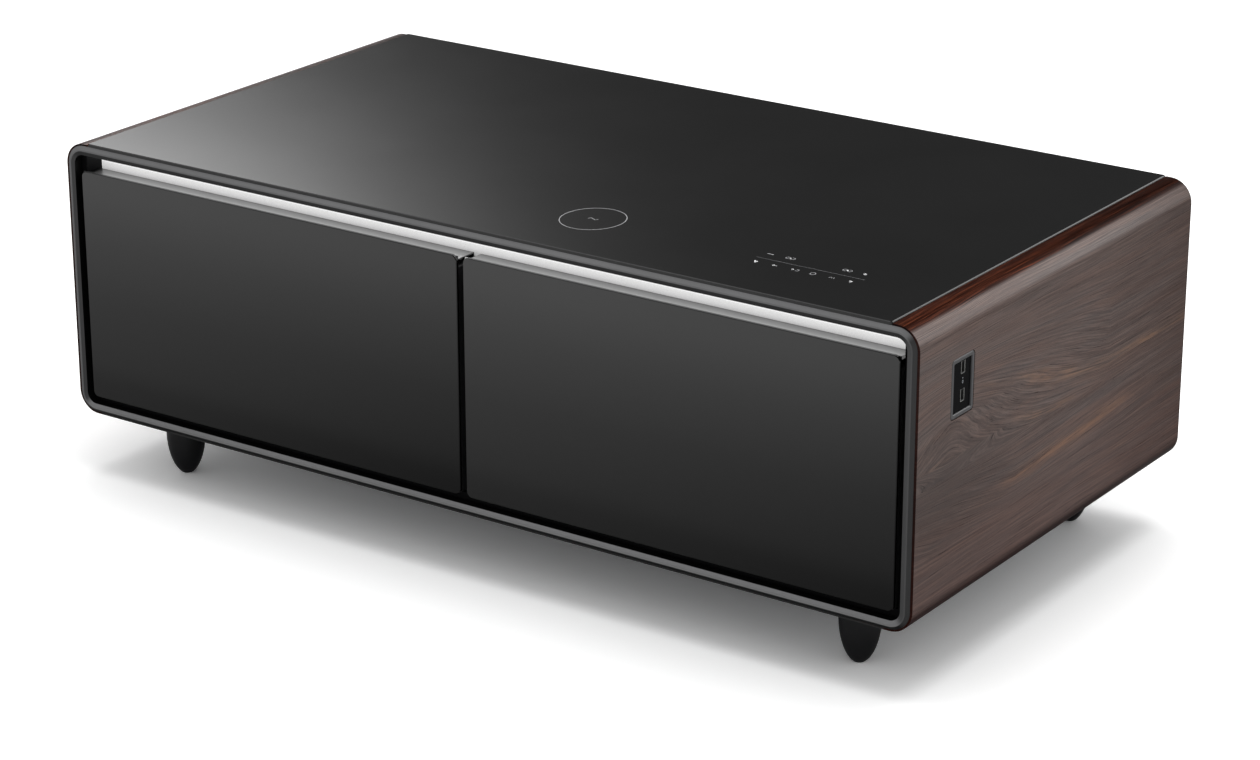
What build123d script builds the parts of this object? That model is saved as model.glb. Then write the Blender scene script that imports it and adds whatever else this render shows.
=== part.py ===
from build123d import *
import os

# Refrigerator coffee table: a cabinet on four feet, with a glass top and two cooled drawers.
# Origin on the floor below the middle of the table, +Z up, drawers open toward -Y, millimetres.

# Whole table
table_width = 1300
table_depth = 685
body_height = 378
foot_height = 90

# Clearances shared by many pieces
fit_gap = 0.2
running_gap = 0.3
cut_overrun = 6

# Wood side shells, wrapped round from the top over the side and under
shell_wall = 12
shell_corner_radius = 30
shell_front_setback = 3.4
shell_leg_reach = 80
top_strip_width = 7.2

# Metal frame round the front
frame_width = 12
frame_depth = 14
frame_side_inset = 3.3
frame_upright_inset = 2.4
frame_outer_facet_width = 4.6
frame_outer_facet_depth = 3.2
frame_inner_facet_width = 4.4
frame_inner_facet_depth = 1.2

# Glass top, sunk a little between the wood strips
glass_thickness = 4
glass_bevel = 1.4
glass_corner_radius = 3
glass_front_setback = 3.3

# Sheet metal: top deck, base plate and rear panel
deck_sheet = 1.5
base_sheet = 2
rear_sheet = 1.5
rear_setback = 4
rear_flange_height = 25

# Vents in the rear panel
vent_width = 80
vent_height = 5
vent_spacing = 12
vent_row_count = 10
vent_start_height = 90
vent_offset = 45

# Rear panel screws
screw_radius = 2
screw_head_radius = 4
screw_head_height = 2.4
screw_length = 9
screw_side_inset = 110
screw_column_count = 5

# Bullet-shaped feet and their bolts
foot_radius = 26.5
foot_bulb_height = 60
foot_bulb_reach = 62.5
foot_bulb_steps = 12
foot_side_inset = 116
foot_front_inset = 82
foot_rear_inset = 70
bolt_radius = 4
bolt_depth = 30
bolt_head_radius = 7
bolt_head_height = 5
bolt_pocket_margin = 2

# Drawer fronts
door_gap = 10
door_side_margin = 25.4
door_bottom_margin = 24.6
door_top_drop = 37
door_recess = 2.5
door_glass_thickness = 4
door_glass_corner = 8
door_glass_bevel = 0.8
door_body_depth = 38.5
door_body_inset = 1.5
door_body_round = 2

# Pull rail behind the top edge of each drawer front
pull_wall = 1.5
pull_drop = 5.4
pull_height = 10.1
pull_room = 30.5
pull_front_drop = 1
pull_end_inset = 0.6
pull_round = 1

# Seal behind each drawer front
seal_edge = 5
seal_width = 12
seal_depth = 6.7
seal_overlap = 0.5

# Black surround between the frame and the insulated body
surround_clearance = 1.5
surround_plate = 2
surround_beam = 9
surround_beam_drop = 4.5

# Light bar under the front rail, and its diffuser
bar_wall = 3
bar_flange = 1.8
bar_setback = 2
diffuser_width = 16
diffuser_height = 3.6
diffuser_setback = 4
diffuser_end_inset = 12

# Insulation boards and liners
side_insulation = 34
centre_insulation = 45
rear_insulation = 35
machine_room_depth = 131
liner_wall = 1.5

# Cold plate at the back of each liner
cold_plate_margin = 30
cold_plate_thickness = 2
cold_spacer_radius = 5
cold_spacer_length = 7
cold_spacer_inset = 40

# Telescopic slides
slide_height = 45
slide_wall = 1.5
slide_outer_depth = 8
slide_middle_depth = 8.6
slide_thickness = 13.2
slide_front_setback = 4
slide_rear_clearance = 6
slide_centre_height = 90

# Drawer bins
bin_wall = 2.5
bin_rear_clearance = 20
bin_top_clearance = 20
bin_floor_clearance = 6
bin_corner_radius = 14
bin_rim_width = 4
bin_rim_height = 2

# Touch board and charging coil under the glass
touch_board_length = 176
touch_board_width = 60
touch_board_thickness = 3
touch_board_side_distance = 212.5
touch_board_front_distance = 112
coil_radius = 42
coil_thickness = 4
coil_side_distance = 531.5
coil_front_distance = 119.6
pocket_margin = 1
pocket_room = 6

# Charging port on the right side
port_front_distance = 104.3
port_centre_drop = 97.6
port_length = 52
port_height = 73
port_ring = 5.5
port_ring_thickness = 2
port_ring_corner = 5
port_ring_bevel = 0.9
port_ring_groove = 0.8
port_window_corner = 1.5
port_body_margin = 2
port_body_depth = 26
socket_length = 14
socket_width = 7
socket_wall = 0.6
socket_depth = 18
socket_tongue_length = 11
socket_tongue_thickness = 1.8
socket_tongue_setback = 2
socket_offsets = (-12.6, 21.8)
socket_front_offset = 2.5

# Compressor on its rubber mounts
compressor_side_distance = 365
compressor_radius = 52
compressor_height = 125
compressor_top_round = 24
compressor_bottom_round = 12
compressor_seam = 2
compressor_seam_height = 5
compressor_foot_length = 132
compressor_foot_width = 116
compressor_foot_thickness = 3
mount_radius = 8
mount_height = 12
mount_inset = 10
terminal_box_size = 30
terminal_box_drop = 20
pipe_radius = 4
pipe_height = 16
pipe_offset = 26

# Condenser
condenser_fan_distance = 65
condenser_length = 60
condenser_width = 118
condenser_height = 120
condenser_leg = 8
condenser_end_plate = 2
fin_thickness = 0.8
fin_count = 22
condenser_tube_radius = 4
condenser_tube_row_count = 4
condenser_tube_column_count = 2

# Fan
fan_compressor_distance = 325
fan_size = 120
fan_thickness = 25
fan_corner_radius = 6
fan_bore_radius = 56.5
fan_strut_width = 6
fan_strut_thickness = 3
fan_motor_radius = 18
fan_motor_length = 9
fan_shaft_radius = 2
fan_shaft_gap = 0.05
fan_hub_radius = 19
fan_hub_length = 13
fan_blade_radius = 54.5
fan_blade_count = 7
fan_blade_thickness = 1.8
fan_blade_root_chord = 14
fan_blade_tip_chord = 22
fan_blade_root_angle = 48
fan_blade_tip_angle = 28

# Control box and power inlet
control_side_distance = 210
control_length = 130
control_width = 90
control_height = 60
control_round = 4
inlet_side_distance = 90
inlet_centre_height = 70
inlet_flange_length = 44
inlet_flange_height = 34
inlet_flange_thickness = 2.4
inlet_body_length = 32
inlet_body_height = 24
inlet_body_depth = 21
inlet_recess_length = 25
inlet_recess_height = 17
inlet_recess_depth = 17
inlet_recess_corner = 4
inlet_pin_length = 10
inlet_pin_width = 4.5
inlet_pin_thickness = 2
inlet_pin_spacing = 7
inlet_pin_offset = 3.5

# Places of the cabinet's outside
half_width = table_width / 2
front = -table_depth / 2
back = table_depth / 2
body_bottom = foot_height
body_top = foot_height + body_height
body_middle = (body_bottom + body_top) / 2
strip_end = half_width - shell_corner_radius - top_strip_width
leg_end = half_width - shell_leg_reach
inner_side = half_width - shell_wall
inner_bottom = body_bottom + shell_wall
inner_top = body_top - shell_wall
inner_corner_radius = shell_corner_radius - shell_wall

# Places of the front frame
frame_outer_side = half_width - frame_side_inset
frame_inner_side = frame_outer_side - frame_width
frame_outer_height = body_height - 2 * frame_upright_inset
frame_inner_height = frame_outer_height - 2 * frame_width
frame_corner_radius = shell_corner_radius - frame_side_inset
frame_back = front + frame_depth

# Places of the glass top and the sheet metal
glass_bottom = body_top - frame_upright_inset + fit_gap
deck_bottom = glass_bottom - deck_sheet
base_top = body_bottom + base_sheet
sheet_side = strip_end - fit_gap
sheet_front = frame_back + fit_gap
base_front = front + shell_front_setback
rear_outer = back - rear_setback
rear_inner = rear_outer - rear_sheet
board_top_side = leg_end - fit_gap

# Places of the drawer fronts
door_outer = half_width - door_side_margin
door_inner = door_gap / 2
door_bottom = body_bottom + door_bottom_margin
door_top = body_top - door_top_drop
door_front = front + door_recess
door_glass_back = door_front + door_glass_thickness
door_back = door_glass_back + door_body_depth
body_outer = door_outer - door_body_inset
body_inner = door_inner + door_body_inset
door_body_bottom = door_bottom + door_body_inset
pull_top = door_top - pull_drop
door_body_top = pull_top - pull_height
pull_rear_front = door_glass_back + pull_wall + pull_room
pull_back = pull_rear_front + pull_wall
seal_bottom = door_body_bottom + seal_edge
seal_top = door_body_top - seal_edge

# Places of the surround and the light bar
surround_side = body_outer + surround_clearance
surround_floor = door_body_bottom - surround_clearance
plate_front = door_back + seal_depth + running_gap
board_front = plate_front + surround_plate
beam_front = board_front - surround_beam
beam_bottom = door_body_top + surround_beam_drop
bar_front = pull_back + bar_setback
bar_back = bar_front + bar_wall
bar_top = inner_top - fit_gap
bar_side = surround_side - fit_gap

# Places of the insulated body
board_side = inner_side - fit_gap
liner_outer_side = board_side - side_insulation
liner_inner_side = centre_insulation / 2
board_back = rear_inner - machine_room_depth
liner_back = board_back - rear_insulation
room_outer = liner_outer_side - liner_wall
room_inner = liner_inner_side + liner_wall
room_bottom = seal_bottom + seal_width + seal_overlap
room_top = seal_top - seal_width - seal_overlap
liner_bottom = room_bottom - liner_wall
liner_top = room_top + liner_wall
room_back = liner_back - liner_wall
cold_plate_back = room_back - cold_spacer_length
cold_plate_front = cold_plate_back - cold_plate_thickness

# Places in the machine room
machine_middle = (board_back + rear_inner) / 2
compressor_x = half_width - compressor_side_distance
fan_x = compressor_x - fan_compressor_distance
condenser_x = fan_x - condenser_fan_distance
control_x = half_width - control_side_distance
inlet_x = half_width - inlet_side_distance

# Places of the slides and bins
slide_middle_height = room_bottom + slide_centre_height
slide_front = board_front + slide_front_setback
slide_back = room_back - slide_rear_clearance
bin_outer = room_outer - slide_thickness
bin_inner = room_inner + slide_thickness
bin_bottom = room_bottom + bin_floor_clearance
bin_top = room_top - bin_top_clearance
bin_front = door_back
bin_back = cold_plate_front - bin_rear_clearance

# Places of the feet
foot_places = [
    ("front_left", -half_width + foot_side_inset, front + foot_front_inset),
    ("front_right", half_width - foot_side_inset, front + foot_front_inset),
    ("rear_left", -half_width + foot_side_inset, back - foot_rear_inset),
    ("rear_right", half_width - foot_side_inset, back - foot_rear_inset),
]

# Places of the touch board, coil and port
touch_board_x = half_width - touch_board_side_distance
coil_x = half_width - coil_side_distance
touch_board_y = front + touch_board_front_distance
coil_y = front + coil_front_distance
port_y = front + port_front_distance
port_z = body_top - port_centre_drop
port_back = half_width - port_ring_thickness
port_body_length = port_length - 2 * port_ring + 2 * port_body_margin
port_body_height = port_height - 2 * port_ring + 2 * port_body_margin


def save(name, shape):
    shape.label = name
    export_step(shape, f"parts/{name}.step")


def block(x0, x1, y0, y1, z0, z1):
    middle = Pos((x0 + x1) / 2, (y0 + y1) / 2, (z0 + z1) / 2)
    return middle * Box(abs(x1 - x0), y1 - y0, z1 - z0)


def wide_block(half, y0, y1, z0, z1):
    return block(-half, half, y0, y1, z0, z1)


def rod(place, direction, radius, length):
    return extrude(Plane(origin=place, z_dir=direction) * Circle(radius), length)


def along_y(sketch, y0, y1):
    # Sketch drawn in X and Z, seen from the front
    plane = Plane(origin=(0, y1, 0), x_dir=(1, 0, 0), z_dir=(0, -1, 0))
    return extrude(plane * sketch, y1 - y0)


def along_x(sketch, x0, x1):
    # Sketch drawn in Y and Z
    plane = Plane(origin=(x0, 0, 0), x_dir=(0, 1, 0), z_dir=(1, 0, 0))
    return extrude(plane * sketch, x1 - x0)


def mirror_to(side, shape):
    # Pieces are drawn on the right half, and mirrored for the left
    return shape if side > 0 else mirror(shape, Plane.YZ)


def body_profile(half, height, radius):
    return Pos(0, body_middle) * RectangleRounded(2 * half, height, radius)


def inner_profile():
    height = inner_top - inner_bottom - 2 * fit_gap
    return body_profile(board_side, height, inner_corner_radius - fit_gap)


def port_opening(length, height, corner, x0, x1):
    outline = RectangleRounded(length, height, corner)
    return along_x(Pos(port_y, port_z) * outline, x0, x1)


# Cabinet


def side_shell(side):
    wrap = body_profile(half_width, body_height, shell_corner_radius)
    wrap -= body_profile(inner_side, inner_top - inner_bottom, inner_corner_radius)
    shell = along_y(wrap, front + shell_front_setback, back)
    shell &= block(leg_end, half_width, front, back, body_bottom, body_top)
    frame_seat = body_profile(
        frame_outer_side + fit_gap, frame_outer_height + 2 * fit_gap, frame_corner_radius + fit_gap
    )
    shell -= along_y(frame_seat, front, sheet_front)
    shell -= block(leg_end, strip_end, front, back, deck_bottom, body_top)
    shell -= block(leg_end, strip_end, front, back, body_bottom, base_top)
    if side > 0:
        ring_length = port_length + 2 * port_ring_groove
        ring_height = port_height + 2 * port_ring_groove
        ring_corner = port_ring_corner + port_ring_groove
        shell -= port_opening(ring_length, ring_height, ring_corner, port_back, half_width)
        hole_length = port_body_length + 2 * fit_gap
        hole_height = port_body_height + 2 * fit_gap
        shell -= port_opening(hole_length, hole_height, port_ring_corner, leg_end, half_width)
    return mirror_to(side, shell)


def front_frame():
    ring = body_profile(frame_outer_side, frame_outer_height, frame_corner_radius)
    ring -= body_profile(frame_inner_side, frame_inner_height, frame_corner_radius - frame_width)
    frame = along_y(ring, front, frame_back)
    face = frame.faces().sort_by(Axis.Y)[0]
    edges = face.outer_wire().edges()
    frame = chamfer(edges, frame_outer_facet_width, frame_outer_facet_depth, reference=face)
    face = frame.faces().sort_by(Axis.Y)[0]
    edges = face.inner_wires()[0].edges()
    return chamfer(edges, frame_inner_facet_width, frame_inner_facet_depth, reference=face)


def glass_top():
    half = strip_end - fit_gap
    glass_front = front + glass_front_setback
    glass = wide_block(half, glass_front, back, glass_bottom, glass_bottom + glass_thickness)
    glass = fillet(glass.edges().filter_by(Axis.Z), glass_corner_radius)
    return chamfer(glass.faces().sort_by(Axis.Z)[-1].edges(), glass_bevel)


def touch_board_space(margin, depth):
    length = touch_board_length / 2 + margin
    width = touch_board_width / 2 + margin
    return block(
        touch_board_x - length, touch_board_x + length,
        touch_board_y - width, touch_board_y + width, glass_bottom - depth, glass_bottom,
    )


def coil_space(margin, depth):
    return rod((coil_x, coil_y, glass_bottom), (0, 0, -1), coil_radius + margin, depth)


def screw_places():
    places = []
    spacing = (table_width - 2 * screw_side_inset) / (screw_column_count - 1)
    for index in range(screw_column_count):
        x = (index - (screw_column_count - 1) / 2) * spacing
        places.append((x, base_top + rear_flange_height / 2))
        places.append((x, deck_bottom - rear_flange_height / 2))
    return places


def screw_holes():
    radius = screw_radius + fit_gap
    length = rear_sheet + rear_sheet + 2 * cut_overrun
    start = rear_outer + cut_overrun
    return [rod((x, start, z), (0, -1, 0), radius, length) for x, z in screw_places()]


def top_deck():
    deck = wide_block(sheet_side, sheet_front, rear_outer, deck_bottom, glass_bottom)
    flange_bottom = deck_bottom - rear_flange_height
    flange_front = rear_inner - rear_sheet
    deck += wide_block(board_top_side, flange_front, rear_inner, flange_bottom, glass_bottom)
    deck -= touch_board_space(pocket_margin, deck_sheet)
    deck -= coil_space(pocket_margin, deck_sheet)
    return deck - screw_holes()


def base_plate():
    base = wide_block(sheet_side, base_front, rear_outer, body_bottom, base_top)
    flange_top = base_top + rear_flange_height
    base += wide_block(board_top_side, rear_inner - rear_sheet, rear_inner, body_bottom, flange_top)
    for _, x, y in foot_places:
        base -= rod((x, y, body_bottom), (0, 0, 1), bolt_radius + fit_gap, base_sheet)
    return base - screw_holes()


def rear_panel():
    panel = along_y(inner_profile(), rear_inner, rear_outer)
    panel += wide_block(board_top_side, rear_inner, rear_outer, base_top, deck_bottom)
    slots = []
    middles = (condenser_x, compressor_x)
    for x in [middle + offset for middle in middles for offset in (-vent_offset, vent_offset)]:
        for row in range(vent_row_count):
            z = base_top + vent_start_height + row * vent_spacing
            slots.append(block(
                x - vent_width / 2, x + vent_width / 2, rear_inner, rear_outer, z, z + vent_height
            ))
    inlet_z = base_top + inlet_centre_height
    hole = Rectangle(inlet_body_length + 2 * fit_gap, inlet_body_height + 2 * fit_gap)
    slots.append(along_y(Pos(inlet_x, inlet_z) * hole, rear_inner, rear_outer))
    return panel - slots - screw_holes()


def panel_screws():
    screws = []
    for x, z in screw_places():
        screw = rod((x, rear_outer, z), (0, 1, 0), screw_head_radius, screw_head_height)
        screw += rod((x, rear_outer, z), (0, -1, 0), screw_radius, screw_length)
        screws.append(screw)
    return Compound(children=screws)


def foot(x, y):
    # Bulb of an ellipse cut flat at the floor, and straight above its widest place
    heights = [foot_bulb_height * step / foot_bulb_steps for step in range(foot_bulb_steps + 1)]
    bulb_points = []
    for z in heights:
        share = (foot_bulb_height - z) / foot_bulb_reach
        bulb_points.append((foot_radius * (1 - share**2) ** 0.5, z))
    bulb = Spline(bulb_points)
    rest = Polyline(bulb_points[-1], (foot_radius, foot_height), (0, foot_height), (0, 0), bulb_points[0])
    outline = make_face(bulb.edges() + rest.edges())
    solid = Pos(x, y) * revolve(Plane.XZ * outline, Axis.Z)
    return solid - rod((x, y, foot_height), (0, 0, -1), bolt_radius + fit_gap, bolt_depth + fit_gap)


def foot_bolts():
    bolts = []
    for _, x, y in foot_places:
        bolt = rod((x, y, base_top), (0, 0, 1), bolt_head_radius, bolt_head_height)
        bolt += rod((x, y, base_top), (0, 0, -1), bolt_radius, base_sheet + bolt_depth)
        bolts.append(bolt)
    return Compound(children=bolts)


# Front surround and light bar


def front_surround():
    surround = along_y(inner_profile(), sheet_front, board_front)
    surround -= wide_block(surround_side, sheet_front, plate_front, surround_floor, beam_bottom)
    surround -= wide_block(surround_side, sheet_front, beam_front, beam_bottom, body_top)
    surround += wide_block(board_top_side, beam_front, board_front, beam_bottom, deck_bottom)
    for x0, x1 in ((room_inner, room_outer), (-room_outer, -room_inner)):
        surround -= block(x0, x1, plate_front, board_front, room_bottom, room_top)
    return surround


def light_bar():
    fascia = wide_block(bar_side, bar_front, bar_back, beam_bottom, bar_top)
    bar = fascia + wide_block(bar_side, sheet_front, bar_back, bar_top - bar_flange, bar_top)
    return bar & along_y(inner_profile(), sheet_front, bar_back)


def light_diffuser():
    top = bar_top - bar_flange
    start = sheet_front + diffuser_setback
    half = bar_side - diffuser_end_inset
    strip = wide_block(half, start, start + diffuser_width, top - diffuser_height, top)
    return fillet(strip.edges().filter_by(Axis.X).group_by(Axis.Z)[0], diffuser_height / 2)


# Insulated body


def insulation_side(side):
    board = along_y(inner_profile(), board_front, board_back)
    board &= block(liner_outer_side, board_side, board_front, board_back, inner_bottom, inner_top)
    if side > 0:
        length = port_body_length + 2 * fit_gap
        height = port_body_height + 2 * fit_gap
        start = port_back - port_body_depth - fit_gap
        board -= port_opening(length, height, port_ring_corner, start, half_width)
    return mirror_to(side, board)


def insulation_base():
    low = inner_bottom + fit_gap
    board = wide_block(liner_outer_side, board_front, board_back, low, liner_bottom)
    board += wide_block(board_top_side, board_front, board_back, base_top, low)
    height = bolt_head_height + bolt_pocket_margin
    for _, x, y in foot_places:
        board -= rod((x, y, base_top), (0, 0, 1), bolt_head_radius + bolt_pocket_margin, height)
    return board


def insulation_top():
    high = inner_top - fit_gap
    board = wide_block(liner_outer_side, board_front, board_back, liner_top, high)
    board += wide_block(board_top_side, board_front, board_back, high, deck_bottom)
    board -= touch_board_space(2 * pocket_margin, touch_board_thickness + pocket_room)
    return board - coil_space(2 * pocket_margin, coil_thickness + pocket_room)


def insulation_centre():
    return wide_block(liner_inner_side, board_front, liner_back, liner_bottom, liner_top)


def insulation_rear():
    return wide_block(liner_outer_side, liner_back, board_back, liner_bottom, liner_top)


def liner(side):
    tub = block(liner_inner_side, liner_outer_side, board_front, liner_back, liner_bottom, liner_top)
    tub -= block(room_inner, room_outer, board_front, room_back, room_bottom, room_top)
    return mirror_to(side, tub)


def cold_plate(side):
    x0 = room_inner + cold_plate_margin
    x1 = room_outer - cold_plate_margin
    z0 = room_bottom + cold_plate_margin
    z1 = room_top - cold_plate_margin
    plate = block(x0, x1, cold_plate_front, cold_plate_back, z0, z1)
    for x in (x0 + cold_spacer_inset, x1 - cold_spacer_inset):
        for z in (z0 + cold_spacer_inset, z1 - cold_spacer_inset):
            place = (x, cold_plate_back, z)
            plate += rod(place, (0, 1, 0), cold_spacer_radius, cold_spacer_length)
    return mirror_to(side, plate)


# Slides: each member is a channel, and the three lie one inside the other


def channel(x0, x1, web_x, height):
    # Channel between x0 and x1 whose web lies against web_x, with flanges across to the other
    z0 = slide_middle_height - height / 2
    z1 = slide_middle_height + height / 2
    low = min(x0, x1)
    high = max(x0, x1)
    solid = block(low, high, slide_front, slide_back, z0, z1)
    hollow_low = low + slide_wall if web_x == low else low
    hollow_high = high - slide_wall if web_x == high else high
    hollow_bottom = z0 + slide_wall
    hollow_top = z1 - slide_wall
    return solid - block(hollow_low, hollow_high, slide_front, slide_back, hollow_bottom, hollow_top)


def slide(wall_x, toward):
    # toward is the direction from the liner wall to the bin: +1 or -1 along X
    step = 2 * (slide_wall + running_gap)
    outer_web = wall_x
    outer = channel(outer_web, wall_x + toward * slide_outer_depth, outer_web, slide_height)
    middle_web = wall_x + toward * (slide_wall + running_gap)
    middle_tip = middle_web + toward * slide_middle_depth
    middle = channel(middle_web, middle_tip, middle_web, slide_height - step)
    inner_web = wall_x + toward * slide_thickness
    inner_tip = middle_web + toward * (slide_wall + running_gap)
    inner = channel(inner_web, inner_tip, inner_web, slide_height - 2 * step)
    return {"outer": outer, "middle": middle, "inner": inner}


# Drawers


def door_glass(side):
    outline = RectangleRounded(door_outer - door_inner, door_top - door_bottom, door_glass_corner)
    place = Pos((door_outer + door_inner) / 2, (door_top + door_bottom) / 2)
    glass = along_y(place * outline, door_front, door_glass_back)
    return mirror_to(side, chamfer(glass.faces().sort_by(Axis.Y)[0].edges(), door_glass_bevel))


def door_panel(side):
    panel = block(body_inner, body_outer, door_glass_back, door_back, door_body_bottom, door_body_top)
    return mirror_to(side, fillet(panel.edges().filter_by(Axis.Y), door_body_round))


def pull(side):
    # Rail over the panel, open underneath, with a lip up behind the glass, drawn in Y and Z
    lip_back = door_glass_back + pull_wall
    lip_top = door_top - pull_front_drop
    outline = Polyline(
        (door_glass_back, door_body_top),
        (door_glass_back, lip_top),
        (lip_back, lip_top),
        (lip_back, pull_top),
        (pull_back, pull_top),
        (pull_back, door_body_top),
        (pull_rear_front, door_body_top),
        (pull_rear_front, pull_top - pull_wall),
        (lip_back, pull_top - pull_wall),
        (lip_back, door_body_top),
        close=True,
    )
    rail = along_x(make_face(outline), door_inner + pull_end_inset, door_outer - pull_end_inset)
    rear_edge = rail.edges().filter_by(Axis.X).group_by(Axis.Z)[-2].sort_by(Axis.Y)[-1]
    return mirror_to(side, fillet(rear_edge, pull_round))


def seal(side):
    x0 = body_inner + seal_edge
    x1 = body_outer - seal_edge
    y1 = door_back + seal_depth
    ring = block(x0, x1, door_back, y1, seal_bottom, seal_top)
    ring -= block(
        x0 + seal_width, x1 - seal_width, door_back, y1, seal_bottom + seal_width, seal_top - seal_width
    )
    return mirror_to(side, ring)


def bin_tray(side):
    length = bin_outer - bin_inner
    depth = bin_back - bin_front
    height = bin_top - bin_bottom
    outer = RectangleRounded(length, depth, bin_corner_radius)
    hollow = RectangleRounded(length - 2 * bin_wall, depth - 2 * bin_wall, bin_corner_radius - bin_wall)
    tray = extrude(outer, height) - Pos(0, 0, bin_wall) * extrude(hollow, height)
    tray = Pos((bin_outer + bin_inner) / 2, (bin_front + bin_back) / 2, bin_bottom) * tray
    y0 = bin_front + bin_corner_radius
    y1 = bin_back - bin_corner_radius
    rim_bottom = bin_top - bin_rim_height
    tray += block(bin_inner - bin_rim_width, bin_inner, y0, y1, rim_bottom, bin_top)
    tray += block(bin_outer, bin_outer + bin_rim_width, y0, y1, rim_bottom, bin_top)
    return mirror_to(side, tray)


# Under the glass


def touch_board():
    return touch_board_space(0, touch_board_thickness)


def charging_coil():
    return coil_space(0, coil_thickness)


# Charging port


def port_bezel():
    ring = port_opening(port_length, port_height, port_ring_corner, port_back, half_width)
    length = port_length - 2 * port_ring
    height = port_height - 2 * port_ring
    ring -= port_opening(length, height, port_window_corner, port_back, half_width)
    return chamfer(ring.faces().sort_by(Axis.X)[-1].edges(), port_ring_bevel)


def socket_box(offset, margin, x0, x1):
    y = port_y + socket_front_offset
    z = port_z + offset
    width = socket_width / 2 + margin
    length = socket_length / 2 + margin
    return block(x0, x1, y - width, y + width, z - length, z + length)


def port_housing():
    start = port_back - port_body_depth
    housing = port_opening(port_body_length, port_body_height, port_ring_corner, start, port_back)
    for offset in socket_offsets:
        housing -= socket_box(offset, fit_gap, port_back - socket_depth - fit_gap, port_back)
    return housing


def port_sockets():
    sockets = []
    for offset in socket_offsets:
        start = port_back - socket_depth
        shell = socket_box(offset, 0, start, port_back)
        shell -= socket_box(offset, -socket_wall, start + socket_wall, port_back)
        y = port_y + socket_front_offset
        z = port_z + offset
        shell += block(
            start, port_back - socket_tongue_setback,
            y - socket_tongue_thickness / 2, y + socket_tongue_thickness / 2,
            z - socket_tongue_length / 2, z + socket_tongue_length / 2,
        )
        sockets.append(shell)
    return Compound(children=sockets)


# Machine room


def mount_places():
    x = compressor_foot_length / 2 - mount_inset
    y = compressor_foot_width / 2 - mount_inset
    return [(compressor_x + i * x, machine_middle + j * y) for i in (-1, 1) for j in (-1, 1)]


def compressor_mounts():
    mounts = [rod((x, y, base_top), (0, 0, 1), mount_radius, mount_height) for x, y in mount_places()]
    return Compound(children=mounts)


def compressor():
    z0 = base_top + mount_height
    z1 = z0 + compressor_foot_thickness
    centre = (compressor_x, machine_middle)
    dome = rod((*centre, z1), (0, 0, 1), compressor_radius, compressor_height)
    dome = fillet(dome.edges().sort_by(Axis.Z)[-1], compressor_top_round)
    dome = fillet(dome.edges().sort_by(Axis.Z)[0], compressor_bottom_round)
    seam_z = z1 + compressor_height / 2
    seam_radius = compressor_radius + compressor_seam
    dome += rod((*centre, seam_z), (0, 0, 1), seam_radius, compressor_seam_height)
    x = compressor_foot_length / 2
    y = compressor_foot_width / 2
    dome += block(
        compressor_x - x, compressor_x + x, machine_middle - y, machine_middle + y, z0, z1
    )
    half_box = terminal_box_size / 2
    box_x = compressor_x + compressor_radius
    box_z = seam_z - terminal_box_drop
    dome += block(
        box_x - half_box, box_x + half_box,
        machine_middle - half_box, machine_middle + half_box, box_z, box_z + terminal_box_size,
    )
    for offset in (-pipe_offset, pipe_offset):
        start = (compressor_x + offset, machine_middle, z1 + compressor_height - compressor_top_round)
        dome += rod(start, (0, 0, 1), pipe_radius, compressor_top_round + pipe_height)
    return dome


def condenser():
    # Fins and end plates stand across the tubes, and air passes between them along X
    x0 = condenser_x - condenser_length / 2
    x1 = condenser_x + condenser_length / 2
    y0 = machine_middle - condenser_width / 2
    y1 = machine_middle + condenser_width / 2
    top = base_top + condenser_height
    end = condenser_end_plate
    pieces = [block(x0, x1, y0, y0 + end, base_top, top), block(x0, x1, y1 - end, y1, base_top, top)]
    spacing = (condenser_width - end) / (fin_count + 1)
    for index in range(fin_count):
        y = y0 + end / 2 + (index + 1) * spacing
        fin = block(x0, x1, y - fin_thickness / 2, y + fin_thickness / 2, base_top + condenser_leg, top)
        pieces.append(fin)
    row_spacing = (condenser_height - condenser_leg) / condenser_tube_row_count
    column_spacing = condenser_length / condenser_tube_column_count
    for row in range(condenser_tube_row_count):
        for column in range(condenser_tube_column_count):
            x = x0 + (column + 1 / 2) * column_spacing
            z = base_top + condenser_leg + (row + 1 / 2) * row_spacing
            pieces.append(rod((x, y0, z), (0, 1, 0), condenser_tube_radius, condenser_width))
    return pieces[0] + pieces[1:]


def fan_shroud():
    x0 = fan_x - fan_thickness / 2
    x1 = fan_x + fan_thickness / 2
    centre_z = base_top + fan_size / 2
    place = Pos(machine_middle, centre_z)
    plate = RectangleRounded(fan_size, fan_size, fan_corner_radius) - Circle(fan_bore_radius)
    shroud = along_x(place * plate, x0, x1)
    struts = Rectangle(fan_size - fan_corner_radius, fan_strut_width)
    struts += Rectangle(fan_strut_width, fan_size - fan_corner_radius)
    shroud += along_x(place * struts, x0, x0 + fan_strut_thickness)
    shroud += along_x(place * Circle(fan_motor_radius), x0, x0 + fan_motor_length)
    return shroud + along_x(place * Circle(fan_shaft_radius), x0, x1)


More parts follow.
